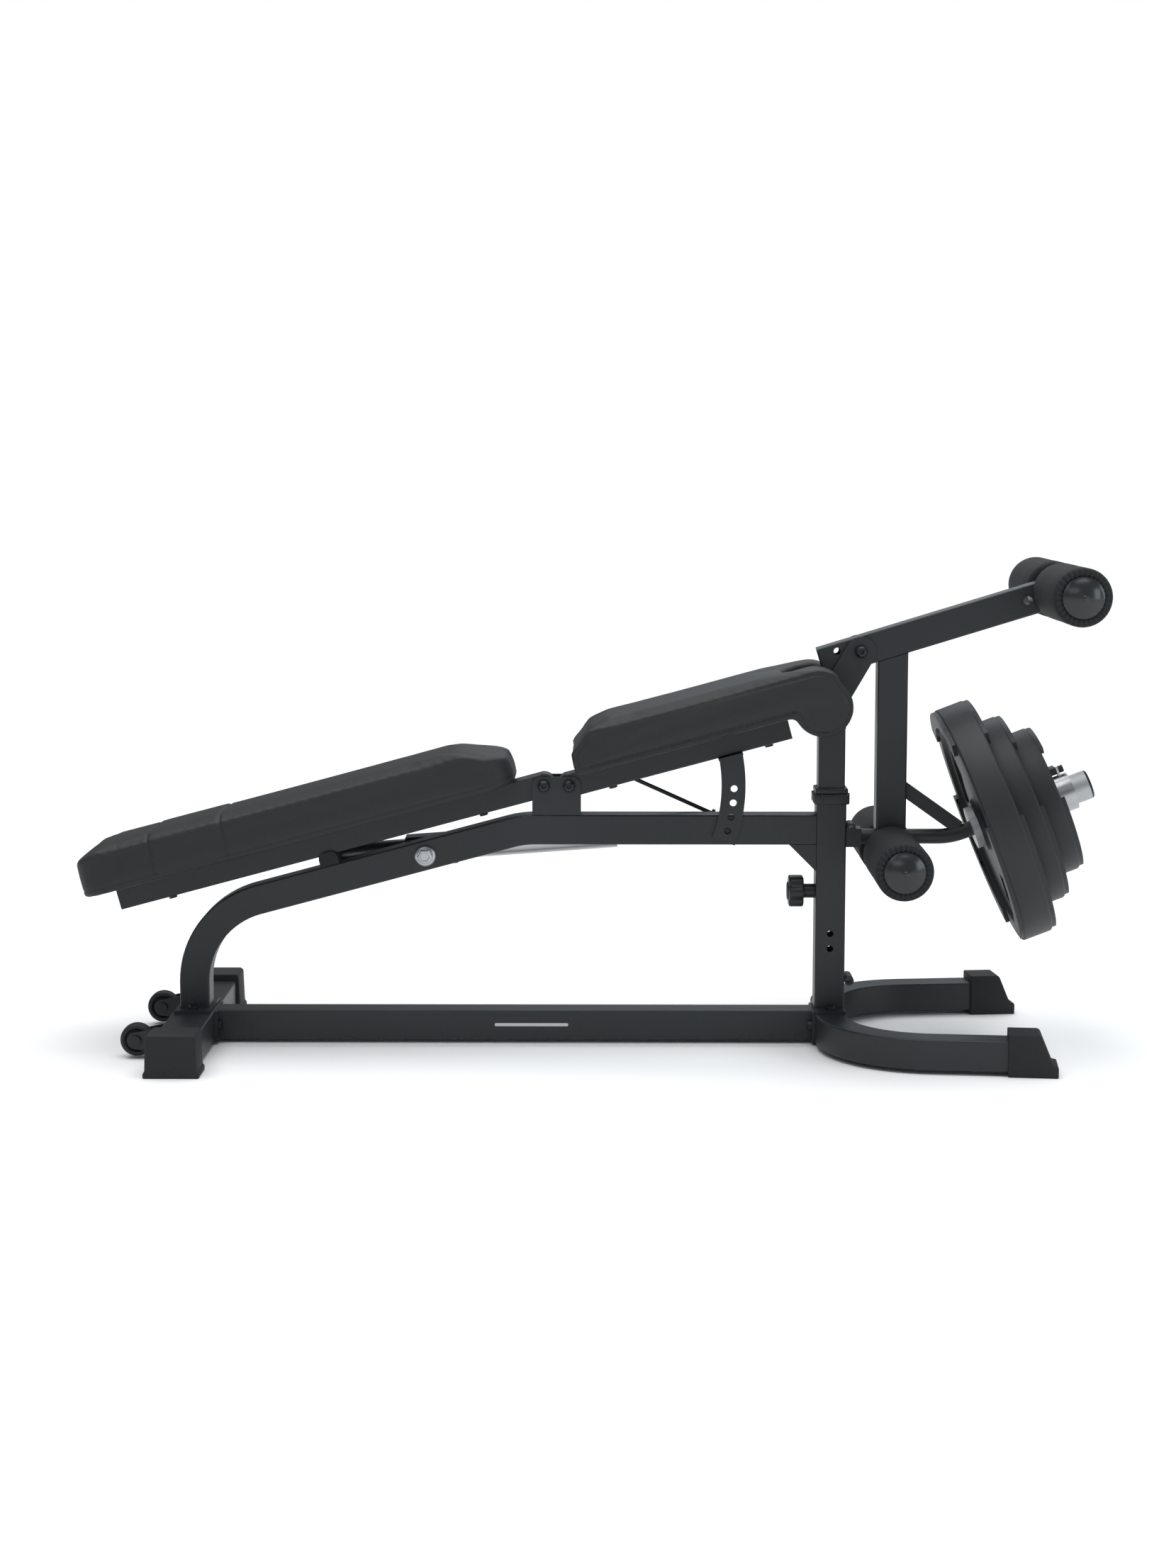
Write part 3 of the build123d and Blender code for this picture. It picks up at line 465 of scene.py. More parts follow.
def smoothed(mesh):
    bm = bmesh.new()
    bm.from_mesh(mesh)
    bmesh.ops.smooth_vert(bm, verts=bm.verts, factor=0.5, use_axis_x=True, use_axis_y=True,
                          use_axis_z=True)
    bm.to_mesh(mesh)
    bm.free()
    return mesh


def refined(mesh):
    piece = scratch_object("cushion skin", mesh)
    finer = piece.modifiers.new("finer skin", "SUBSURF")
    finer.levels = 1
    finer.render_levels = 1
    skin = finished_mesh(piece)
    drop(piece)
    return skin


def stuffed(bm, matrix):
    """From a plain solid to a swollen, fine cushion mesh."""
    tidy(bm)
    mesh = smoothed(remeshed(mesh_from(bm, "cushion blank"), bpy.context.scene.bench_sizes.voxel))
    mesh = smoothed(inflated(mesh, matrix))
    return refined(mesh)


def pressed(mesh, matrix, push, lift):
    """Moves points along their normals and off the slope, both in millimetres."""
    points = points_of(mesh) + normals_of(mesh) * (push * MM)[:, None]
    points += np.array(matrix.to_3x3() @ Vector((0, 0, 1))) * (lift * MM)[:, None]
    set_points(mesh, points)


def valley(distance, width):
    """1 on a line, falling smoothly to 0 a few widths away."""
    return np.exp(-(distance / width) ** 2)


def distance_to_outline(points, outline):
    """Shortest distance from points in the drawing plane to a closed outline."""
    best = np.full(len(points), 1e9)
    for first, second in zip(outline, outline[1:] + outline[:1]):
        a = np.array(first)
        run = np.array(second) - a
        share = np.clip(((points - a) @ run) / max(run @ run, 1e-9), 0, 1)
        gap = np.linalg.norm(points - (a + share[:, None] * run), axis=1)
        best = np.minimum(best, gap)
    return best


def step_up(distance, width):
    """0 before a line and 1 after it, with a smooth change."""
    return 1 / (1 + np.exp(-distance / width))


def back_blank(bm):
    """Rounded block, sloped off at the hip and at the head."""
    half = bpy.context.scene.bench_sizes.back_half_width - 3
    head, hip, low, top = -783.0, -41.0, 21.5, 92.0
    hip_corner, head_corner = 52.0, 34.0
    plan = (arc((hip - hip_corner, half - hip_corner), hip_corner, 90, 0, 9)
            + arc((hip - hip_corner, hip_corner - half), hip_corner, 0, -90, 9)
            + arc((head + head_corner, head_corner - half), head_corner, -90, -180, 7)
            + arc((head + head_corner, half - head_corner), head_corner, 180, 90, 7))
    prism(bm, plan, low, top, Matrix(), "XY")
    cuts = (((-120, top), (hip, 68)), ((head, 83), (-746, top)))
    for (x0, z0), (x1, z1) in cuts:
        normal = Vector((z0 - z1, 0, x1 - x0)).normalized()
        whole = bm.verts[:] + bm.edges[:] + bm.faces[:]
        cut = bmesh.ops.bisect_plane(bm, geom=whole, dist=1e-6, plane_co=Vector((x0, 0, z0)) * MM,
                                     plane_no=normal, clear_outer=True)
        rim = [item for item in cut["geom_cut"] if isinstance(item, bmesh.types.BMEdge)]
        bmesh.ops.holes_fill(bm, edges=rim, sides=0)
    edges = [edge for edge in bm.edges if len(edge.link_faces) == 2 and edge.calc_face_angle() > 0.6]
    soften(bm, 5, 3, edges=edges)
    bmesh.ops.transform(bm, matrix=BACK, verts=bm.verts)


SLOT_START = 388.0      # where the front slot and the roll begin


def seat_outline(inset=0.0):
    """Side view of the seat cushion: a slab that ends in a thick front roll."""
    roll = (438.0, 27.0)
    radius = 52.0 - inset
    low = 21.5 + inset
    top = 95.0 - inset
    crown = arc((roll[0] - 6, top - 56), 56, 90, 40, 6)
    front = arc(roll, radius, 38, -150, 16)
    points = [(17 + inset, low), (16 + inset, 60), (55 + inset * 0.6, top)] + crown + front
    return points + [(SLOT_START - inset * 0.4, low)]


def seat_blank(bm):
    """A slab with two lobes, one on each side of the front slot."""
    sizes = bpy.context.scene.bench_sizes
    half = sizes.seat_half_width - 3
    slot = sizes.slot_half_width + 3
    low, top = 22, 92
    slab = [(19, low), (18, 60), (56, top), (SLOT_START + 6, top), (SLOT_START + 6, low)]
    prism(bm, slab, -half, half, Matrix())
    lobe = [(SLOT_START - 60, low), (SLOT_START - 60, top)] + seat_outline(3.0)[3:]
    for low, high in ((-half, -slot), (slot, half)):
        prism(bm, lobe, low, high, Matrix())
    soften(bm, 5, 3, 40)
    bmesh.ops.transform(bm, matrix=SEAT, verts=bm.verts)


class BENCH_OT_back_cushion(bpy.types.Operator):
    """Long back cushion with two wrap-round seams and a plain band between them"""
    bl_idname = "bench.back_cushion"
    bl_label = "Back cushion"

    def execute(self, context):
        sizes = context.scene.bench_sizes
        bm = bmesh.new()
        back_blank(bm)
        mesh = stuffed(bm, BACK)
        local = local_points(mesh, BACK)
        across = np.clip(np.abs(local[:, 1]) / sizes.back_half_width, 0, 1)
        top = np.clip((local[:, 2] - 60) / 30, 0, 1)
        lift = sizes.crown * (1 - across ** 2) * top
        above = local[:, 2] > BOARD_HEIGHT
        seams = (-652.0, -528.0)
        groove = sum(valley(local[:, 0] - seam, 2.6) for seam in seams) * sizes.seam_depth
        band = step_up(local[:, 0] - seams[0], 3) - step_up(local[:, 0] - seams[1], 3)
        hem = valley(local[:, 2] - HEM_HEIGHT, 1.8) * 1.4
        pressed(mesh, BACK, (band * 1.3 - groove) * above - hem, lift)
        piece = piece_of("back_cushion", mesh, "backrest", "vinyl", ["backrest_pad"], 60)
        return {"FINISHED"}


class BENCH_OT_seat_cushion(bpy.types.Operator):
    """Seat cushion whose thick front roll is slotted for the upright"""
    bl_idname = "bench.seat_cushion"
    bl_label = "Seat cushion"

    def execute(self, context):
        sizes = context.scene.bench_sizes
        bm = bmesh.new()
        seat_blank(bm)
        mesh = stuffed(bm, SEAT)
        local = local_points(mesh, SEAT)
        edge = distance_to_outline(local[:, [0, 2]], seat_outline())
        side = np.clip((np.abs(local[:, 1]) - sizes.seat_half_width + 9) / 5, 0, 1)
        border = sizes.piping_inset
        groove = valley(edge - border, 2.2) * sizes.seam_depth
        bead = valley(edge - border * 0.45, 3.2) * 1.6
        push = (bead - groove) * side
        hem = valley(local[:, 2] - HEM_HEIGHT, 1.8) * (local[:, 0] < 375) * (side == 0)
        across = np.clip(np.abs(local[:, 1]) / sizes.seat_half_width, 0, 1)
        lift = sizes.crown * 0.7 * (1 - across ** 2) * np.clip((local[:, 2] - 70) / 20, 0, 1)
        pressed(mesh, SEAT, push - hem, lift)
        piece = piece_of("seat_cushion", mesh, "seat", "vinyl", ["seat_pad"], 60)
        return {"FINISHED"}


# ---- rollers ------------------------------------------------------------------------
class BENCH_OT_rollers(bpy.types.Operator):
    """Four foam rollers with gathered ends and domed caps"""
    bl_idname = "bench.rollers"
    bl_label = "Foam rollers"

    def execute(self, context):
        sizes = context.scene.bench_sizes
        for level in ("upper", "lower"):
            for side, sign in (("near", -1), ("far", 1)):
                self.roller(f"{level}_{side}", sign, sizes)
        return {"FINISHED"}

    def roller(self, name, sign, sizes):
        low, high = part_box("foam_roller_" + name)
        middle = (low + high) / 2
        length = (high.y - low.y) / MM
        radius = (high.z - low.z) / 2 / MM
        inner = Vector((middle.x, low.y if sign > 0 else high.y, middle.z))
        matrix = along_axis(inner, (0, sign, 0))
        self.foam(name, matrix, length, radius, sizes.pleats)
        self.cap(name, matrix, length)
        core = bmesh.new()
        ring = [(-1, 8.4), (-1, 12.2), (0, 13.4), (length - 4, 13.4), (length - 4, 8.4)]
        lathe(core, ring, matrix, steps=48, closed=True)
        new_piece("core_" + name, core, "roller_" + name, "plastic")

    def foam(self, name, matrix, length, radius, count):
        """A sleeve of foam whose outer end is gathered into pleats."""
        foam = bmesh.new()
        bore, lip, depth = 13.5, 7.0, 2.2
        middle = [(length * 0.3, radius), (length * 0.5, radius - 0.35), (length * 0.7, radius)]
        gather = [(length - 1.2, 43.5), (length - 0.3, 41), (length, 38.5), (length - 0.6, 36),
                  (length - 2.5, 33), (length - 4, bore)]
        profile = ([(0, bore)] + arc((lip, radius - lip), lip, 180, 90, 5) + middle
                   + arc((length - lip, radius - lip), lip, 90, 25, 4) + gather)
        lathe(foam, profile, Matrix(), steps=count * 8, closed=True)
        for vert in foam.verts:
            reach = math.hypot(vert.co.y, vert.co.z) / MM
            if vert.co.x / MM > length - 9 and reach > 31:
                turn = math.atan2(vert.co.z, vert.co.y)
                fold = 0.5 - 0.5 * math.cos(turn * count)
                fade = min(1.0, (radius + 0.6 - reach) / 4)
                vert.co.x -= depth * fold * max(fade, 0) * MM
        bmesh.ops.transform(foam, matrix=matrix, verts=foam.verts)
        new_piece("foam_" + name, foam, "roller_" + name, "foam", ["foam_roller_" + name], 50)

    def cap(self, name, matrix, length):
        """A domed cap, part of a ball, with a nub in the middle."""
        cap = bmesh.new()
        rise, dome = 12.0, 33.0
        peak = length + rise
        ball = (dome ** 2 + rise ** 2) / (2 * rise)
        curve = [(peak - ball + ball * math.cos(math.asin(reach / ball)), reach)
                 for reach in (31.5, 28, 23, 17, 11, 6.5)]
        nub = [(peak + 0.4, 4.2), (peak + 1.6, 3.6), (peak + 2.3, 2.2), (peak + 2.5, 0)]
        skirt = [(length - 6, 0), (length - 6, 12), (length - 3.6, 12), (length - 3.6, 31),
                 (length - 1, 33), (length + 0.6, 33.2)]
        lathe(cap, skirt + curve + nub, matrix, steps=96)
        # the caps take the dome finish, whose lighter colour is a painted sheen
        new_piece("cap_" + name, cap, "roller_" + name, "dome", ["roller_cap_" + name], 40)


# ---- weight plates ------------------------------------------------------------------
class BENCH_OT_plates(bpy.types.Operator):
    """Three weight plates with raised grip lips, hand slots and steel bushes"""
    bl_idname = "bench.plates"
    bl_label = "Weight plates"

    sizes_mm = {"plate_large": (206.0, 51.0), "plate_medium": (162.0, 40.0),
                "plate_small": (125.5, 40.0)}     # radius and thickness
    gap = 0.3

    def execute(self, context):
        start = self.gap
        for name, (radius, thickness) in self.sizes_mm.items():
            self.plate(name, radius, thickness, start)
            start += thickness + self.gap
        return {"FINISHED"}

    def plate(self, name, radius, thickness, start):
        rim, hub, edge, recess = radius * 0.84, 44.0, 4.0, 9.0
        outer = (arc((edge, radius - edge), edge, 180, 90, 5)
                 + arc((thickness - edge, radius - edge), edge, 90, 0, 5))
        face = [(0, rim + 2), (2, rim), (recess - 2, rim - 2.5), (recess, rim - 7), (recess, hub + 7),
                (recess - 3, hub + 2), (1.5, hub), (0, hub - 1.5), (0, 27), (1, 25.4)]
        back = [(thickness - along, reach) for along, reach in face]
        body = bmesh.new()
        lathe(body, outer + back + list(reversed(face)), Matrix(), steps=180, closed=True)
        tidy(body)
        work = scratch_object(name + " blank", mesh_from(body, name))
        tools = (self.lips(radius, rim, thickness), self.slots(radius, rim, hub, thickness))
        for operation, tool in zip(("UNION", "DIFFERENCE"), tools):
            boolean(work, operation, tool)
        eased = work.modifiers.new("eased edges", "BEVEL")
        eased.width = 1.1 * MM
        eased.segments = 2
        eased.limit_method = "ANGLE"
        eased.angle_limit = math.radians(48)
        done = finished_mesh(work)
        drop(work)
        for tool in tools:
            drop(tool)
        place = WEIGHT @ Matrix.Translation((start * MM, 0, 0))
        done.transform(place)
        piece_of(name + "_cast", done, name + "_body", "plate_rubber", [name], 35)
        bush = bmesh.new()
        bore = 25.25
        ring = [(0.4, bore), (0.4, 29.5), (-0.1, 30), (thickness + 0.1, 30), (thickness - 0.4, 29.5),
                (thickness - 0.4, bore)]
        lathe(bush, ring, place, steps=72, closed=True)
        new_piece(name + "_bush", bush, name + "_body", "zinc")

    def lips(self, radius, rim, thickness):
        """Six raised lips, three on each face, where fingers take hold of the rim."""
        bm = bmesh.new()
        spread, height = math.radians(76), 6.0
        foot, top = rim + 5, radius - 1.6
        for centre in (0, 120, 240):
            turn = math.radians(centre) - spread / 2
            for level in (0.0, thickness):
                low, high = level - height, level + height
                profile = [(low, foot), (high, foot), (high, top), (low, top)]
                lathe(bm, profile, Matrix(), steps=26, closed=True, start=turn, angle=spread)
        return self.tool("plate lips", bm)

    def slots(self, radius, rim, hub, thickness):
        """Three kidney-shaped hand slots through the web."""
        bm = bmesh.new()
        middle = (rim + hub) / 2 + 0.1 * radius
        depth = (rim - hub) * 0.21
        spread, over = math.radians(44), 20
        for centre in (60, 180, 300):
            turn = math.radians(centre) - spread / 2
            profile = [(-over, middle - depth), (thickness + over, middle - depth),
                       (thickness + over, middle + depth), (-over, middle + depth)]
            lathe(bm, profile, Matrix(), steps=16, closed=True, start=turn, angle=spread)
        bmesh.ops.recalc_face_normals(bm, faces=bm.faces)
        ends = [item for item in bm.edges if len(item.link_faces) == 2 and item.calc_face_angle() > 1
                and abs(item.verts[0].co.x - item.verts[1].co.x) > 10 * MM]
        soften(bm, depth * 0.8, 5, edges=ends)
        return self.tool("hand slots", bm)

    def tool(self, name, bm):
        tidy(bm)
        return scratch_object(name, mesh_from(bm, name))


# ---- wheels, knobs, feet and small parts --------------------------------------------
class BENCH_OT_wheels(bpy.types.Operator):
    """Two transport wheels with dished hubs"""
    bl_idname = "bench.wheels"
    bl_label = "Transport wheels"

    def execute(self, context):
        for side in ("near", "far"):
            low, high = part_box("wheel_" + side)
            middle = (low + high) / 2
            half = (high.y - low.y) / 2 / MM
            radius = (high.z - low.z) / 2 / MM
            matrix = along_axis(middle, (0, 1, 0))
            shoulder, groove = 5, 0.8
            hub = [(half - 0.5, 5.2), (half, 6), (half, 10), (half - 3, 11.5), (half - 4.5, 14),
                   (half - 4, 17), (half - 0.8, 19), (half, 20)]
            face = hub + arc((half - shoulder, radius - shoulder), shoulder, 0, 90, 6)
            tread = [(2.0, radius), (1.4, radius - groove), (-1.4, radius - groove), (-2.0, radius)]
            other = [(-along, reach) for along, reach in reversed(face)]
            bm = bmesh.new()
            lathe(bm, face + tread + other, matrix, steps=96, closed=True)
            new_piece("tyre_" + side, bm, f"wheel_{side}_body", "tyre", ["wheel_" + side])
        return {"FINISHED"}


def lobed_knob(name, matrix, radius, length, body, node):
    """A hand knob with six finger hollows and a raised face."""
    bm = bmesh.new()
    lobes, hollow = 6, 0.13
    made = bmesh.ops.create_circle(bm, cap_ends=True, segments=120, radius=radius * MM)
    for vert in made["verts"]:
        turn = math.atan2(vert.co.y, vert.co.x)
        vert.co.xy *= 1 - hollow * (0.5 + 0.5 * math.cos(lobes * turn)) ** 2
    extruded(bm, bm.faces[:], (0, 0, length * MM))
    rims = [edge for edge in bm.edges if len(edge.link_faces) == 2 and edge.calc_face_angle() > 1]
    soften(bm, 3.5, 4, edges=rims)
    quarter = Matrix.Rotation(math.radians(90), 3, "Y")
    bmesh.ops.rotate(bm, verts=bm.verts, cent=(0, 0, 0), matrix=quarter)
    face = [(length - 1, 0), (length - 1, radius * 0.6), (length + 0.8, radius * 0.58),
            (length + 2.6, radius * 0.5), (length + 3, 0)]
    lathe(bm, face, Matrix(), steps=72)
    bmesh.ops.transform(bm, matrix=matrix, verts=bm.verts)
    new_piece(name, bm, body, "plastic", [node], 40)


class BENCH_OT_knobs(bpy.types.Operator):
    """Pull knobs of the post, the seat and the strut, with their steel pins"""
    bl_idname = "bench.knobs"
    bl_label = "Pull knobs"

    def execute(self, context):
        face_rise = 3.2
        for name, node, joint, body, radius, pin in (
                ("post", "post_knob", "post_knob_pull", "post_pin", 27.5, 21.4),
                ("strut", "strut_lock_pin", "strut_lock_pull", "strut_pin", 18.0, 18.9),
                ("seat", "seat_lock_pin", "seat_lock_pull", "seat_pin", 15.0, 59.7)):
            low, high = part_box(node)
            axis = Vector(JOINTS[joint]["axis"])
            middle = (low + high) / 2
            size = high - low
            span = size.x if abs(axis.x) > 0.5 else size.y
            inner = middle - axis * span / 2
            base = inner + axis * pin * MM
            length = span / MM - pin - face_rise
            lobed_knob(f"{name}_knob_grip", along_axis(base, axis), radius, length, body, node)
            bm = bmesh.new()
            shank = [(0, 0), (0, 4.2), (0.8, 5), (pin + 3, 5), (pin + 3, 0)]
            lathe(bm, shank, along_axis(inner, axis), steps=40)
            new_piece(f"{name}_knob_pin", bm, body, "dark_steel")
        return {"FINISHED"}


class BENCH_OT_feet(bpy.types.Operator):
    """Rubber feet: two square rear caps and two wedge-nosed front caps"""
    bl_idname = "bench.feet"
    bl_label = "Rubber feet"

    def execute(self, context):
        low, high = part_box("rear_foot_caps")
        middle = (low.x + high.x) / 2 / MM
        bm = bmesh.new()
        right = [(45, 0), (45, 8), (42, 11), (40, 66), (36, 70)]
        outline = [(-45, 0)] + right + [(-along, height) for along, height in reversed(right[1:])]
        inner = 217.0
        for sign in (-1, 1):
            near, far = sorted((sign * inner, sign * high.y / MM))
            prism(bm, outline, near, far, Matrix.Translation((middle * MM, 0, 0)))
        soften(bm, 2.2, 3, 20)
        new_piece("rear_feet", bm, "base", "rubber", ["rear_foot_caps"])
        self.front_feet()
        return {"FINISHED"}

    def front_feet(self):
        _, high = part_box("front_foot_caps")
        splay, half, heel = math.radians(6), 29.0, 80.0
        profile = [(0, 0), (heel, 0), (heel, 17), (heel - 2, 20), (heel - 9, 21), (52, 67), (48, 70),
                   (0, 70)]
        bm = bmesh.new()
        for sign in (-1, 1):
            reach = heel * math.cos(splay) + half * math.sin(splay)
            centre = high.y / MM - half * math.cos(splay) - heel * math.sin(splay)
            spot = Vector((high.x / MM - reach, sign * centre, 0)) * MM
            turned = Matrix.Translation(spot) @ Matrix.Rotation(sign * splay, 4, "Z")
            prism(bm, profile, -half, half, turned)
        soften(bm, 2.4, 3, 20)
        new_piece("front_feet", bm, "base", "rubber", ["front_foot_caps"])


class BENCH_OT_collar(bpy.types.Operator):
    """Stepped plastic collar at the top of the post"""
    bl_idname = "bench.collar"
    bl_label = "Post collar"

    def execute(self, context):
        low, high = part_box("post_collar")
        middle = (low + high) / 2
        bm = bmesh.new()
        for half, bottom, top in ((29.5, 0, 17), (27.2, 17, 27)):
            lift = Vector((middle.x, middle.y, low.z + (top + bottom) / 2 * MM))
            block(bm, (2 * half, 2 * half, top - bottom), Matrix.Translation(lift))
        soften(bm, 2.4, 3, 60)
        foot = Matrix.Translation((middle.x, middle.y, low.z + 10 * MM))
        for turn in range(4):
            for offset in (-16, 16):
                spot = Matrix.Translation((offset * MM, 28.8 * MM, 0))
                around = foot @ Matrix.Rotation(turn * math.pi / 2, 4, "Z")
                block(bm, (2.4, 3.5, 16), around @ spot)
        tidy(bm)
        work = scratch_object("collar blank", mesh_from(bm, "collar blank"))
        cutter = bmesh.new()
        bore = 46
        block(cutter, (bore, bore, 100), Matrix.Translation(middle))
        tool = scratch_object("collar bore", mesh_from(cutter, "collar bore"))
        boolean(work, "DIFFERENCE", tool, self_crossing=True)
        done = finished_mesh(work)
        drop(work)
        drop(tool)
        piece_of("collar_moulding", done, "base", "plastic", ["post_collar"])
        return {"FINISHED"}


class BENCH_OT_labels(bpy.types.Operator):
    """Plain film strip on the floor beam, with no lettering"""
    bl_idname = "bench.labels"
    bl_label = "Plain labels"

    def execute(self, context):
        low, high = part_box("floor_beam")
        offset = 28 * MM
        middle = Vector(((low.x + high.x) / 2 + offset, low.y, (low.z + high.z) / 2))
        strips = (("label_ground", "label_dark", 84.0, 13.0, 0.12),
                  ("label_bar", "label_pale", 62.0, 2.6, 0.2))
        for name, finish, half_length, half_height, proud in strips:
            bm = bmesh.new()
            block(bm, (2 * half_length, 2 * proud, 2 * half_height), Matrix.Translation(middle))
            corners = [edge for edge in bm.edges
                       if abs(edge.verts[0].co.y - edge.verts[1].co.y) > proud * MM]
            soften(bm, min(3.0, half_height * 0.8), 4, edges=corners)
            new_piece(name, bm, "base", finish)
        return {"FINISHED"}


class BENCH_OT_hardware(bpy.types.Operator):
    """Domed heads for the pivot bolts, and the strut's flange bolt"""
    bl_idname = "bench.hardware"
    bl_label = "Bolt heads"

    def execute(self, context):
        socket = [(0.6, 0), (0.6, 3.2), (4.2, 3.4), (4.8, 4.2)]
        for name, joint, body, radius, proud in (
                ("back_pivot", "backrest_tilt", "base", 9.5, 32.2),
                ("seat_pivot", "seat_tilt", "base", 9.5, 32.2),
                ("arm_pivot", "leg_arm_swing", "upright", 9.7, 36.3)):
            dome = [(4.5, radius * 0.62), (3.2, radius * 0.86), (1.2, radius), (0, radius)]
            shank = [(-6.5, radius), (-6.5, 0)]
            for side_name, side in (("near", -1), ("far", 1)):
                spot = joint_place(joint) + Vector((0, side * proud * MM, 0))
                bm = bmesh.new()
                lathe(bm, socket + dome + shank, along_axis(spot, (0, side, 0)), steps=48)
                new_piece(f"{name}_head_{side_name}", bm, body, "dark_steel")
        self.flange_bolt()
        return {"FINISHED"}

    def flange_bolt(self):
        """The strut's bolt: a wide washer, a coned flange and a hexagon with a dished face."""
        low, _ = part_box("frame_tube")
        spot = joint_place("strut_sleeve_tilt")
        spot.y = low.y
        matrix = along_axis(spot, (0, -1, 0))
        washer = [(0.2, 0), (0.2, 17.2), (1, 17.6), (3, 17.6), (3.6, 17)]
        cone = [(3.6, 0), (3.6, 16.6), (4.2, 16), (5.2, 13.4), (6.2, 12.6), (6.2, 0)]
        bm = bmesh.new()
        for profile in (washer, cone):
            lathe(bm, profile, matrix, steps=72)
        turned_parts = set(bm.verts)
        across, height = 12.3, 6
        hexagon = bmesh.ops.create_circle(bm, cap_ends=True, segments=6, radius=across * MM)["verts"]
        _, lid = extruded(bm, [hexagon[0].link_faces[0]], (0, 0, height * MM))
        for thickness, depth in ((1.6, 0.9), (2.2, 0), (1.0, -1.2)):
            bmesh.ops.inset_region(bm, faces=lid, thickness=thickness * MM, depth=depth * MM)
        head = [vert for vert in bm.verts if vert not in turned_parts]
        quarter = Matrix.Rotation(math.radians(90), 4, "Y")
        seat = Matrix.Translation((height * MM, 0, 0))
        bmesh.ops.transform(bm, matrix=matrix @ seat @ quarter, verts=head)
        new_piece("strut_flange_bolt", bm, "base", "zinc", (), 25)


# ---- the CAD parts' finishes and the stage ------------------------------------------
CAD_FINISHES = {
    "frame_paint": (
        "rear_cross_tube floor_beam bolting_plates front_u_foot front_post frame_tube rail_gusset "
        "hinge_bracket wheel_brackets band_peg rod_guide backrest_tube strut_lug seat_tube "
        "seat_arc_bracket leg_upright clevis_plates arm_tube arm_drop_tube horn_tube horn_brace "
        "stop_block roller_sleeves strut_sleeve"),
    "rubber": "backrest_rest rear_foot_caps front_foot_caps wheel_near wheel_far",
    "plastic": (
        "pin_barrels post_collar post_knob seat_lock_pin strut_lock_pin sleeve_end_cap collar_lever "
        "roller_cap_upper_near roller_cap_upper_far roller_cap_lower_near roller_cap_lower_far"),
    "foam": "foam_roller_upper_near foam_roller_upper_far foam_roller_lower_near foam_roller_lower_far",
    "vinyl": "backrest_pad seat_pad",
    "plate_rubber": "plate_large plate_medium plate_small",
    "zinc": "roller_rods strut_end_pin",
    "dark_steel": "pivot_bolts frame_bolts backrest_pad_bolts seat_bolts seat_stay_rod arm_pivot_bolt",
    "chrome": "strut_tube spring_collar",
    "brushed": "weight_sleeve",
}


class BENCH_OT_cad_finishes(bpy.types.Operator):
    """Gives each carried-over part its finish"""
    bl_idname = "bench.cad_finishes"
    bl_label = "Part finishes"

    def execute(self, context):
        dressed = set()
        for finish, names in CAD_FINISHES.items():
            for name in names.split():
                part = frame["nodes"][name]
                if not part.material_slots:
                    part.data.materials.append(None)
                for slot in part.material_slots:
                    slot.material = finishes()[finish]
                dressed.add(name)
        left = sorted(set(frame["nodes"]) - dressed)
        if left:
            raise RuntimeError(f"these parts have no finish: {left}")
        return {"FINISHED"}


CAMERA_PLACE = (0.0306, -4.3327, 0.9792)
CAMERA_DIP = 7.109
CAMERA_TURN = 0.362
CAMERA_LENS = 59.75
SKY_STRENGTH = 0.22
SUN_STRENGTH = 3.0
SUN_SPREAD = 70
COOL_WHITE = (0.82, 0.92, 1.0)
SOFTBOXES = (   # name, place, turn in degrees, size, power
    ("front_softbox", (-1.2, -3.4, 2.4), (55, 0, -18), (2.6, 1.2), 18),
    ("rear_softbox", (0.8, 3.4, 2.4), (-55, 0, 14), (2.6, 1.2), 18),
    ("side_softbox", (3.4, -1.9, 1.3), (80, 0, 60), (1.2, 1.6), 26))


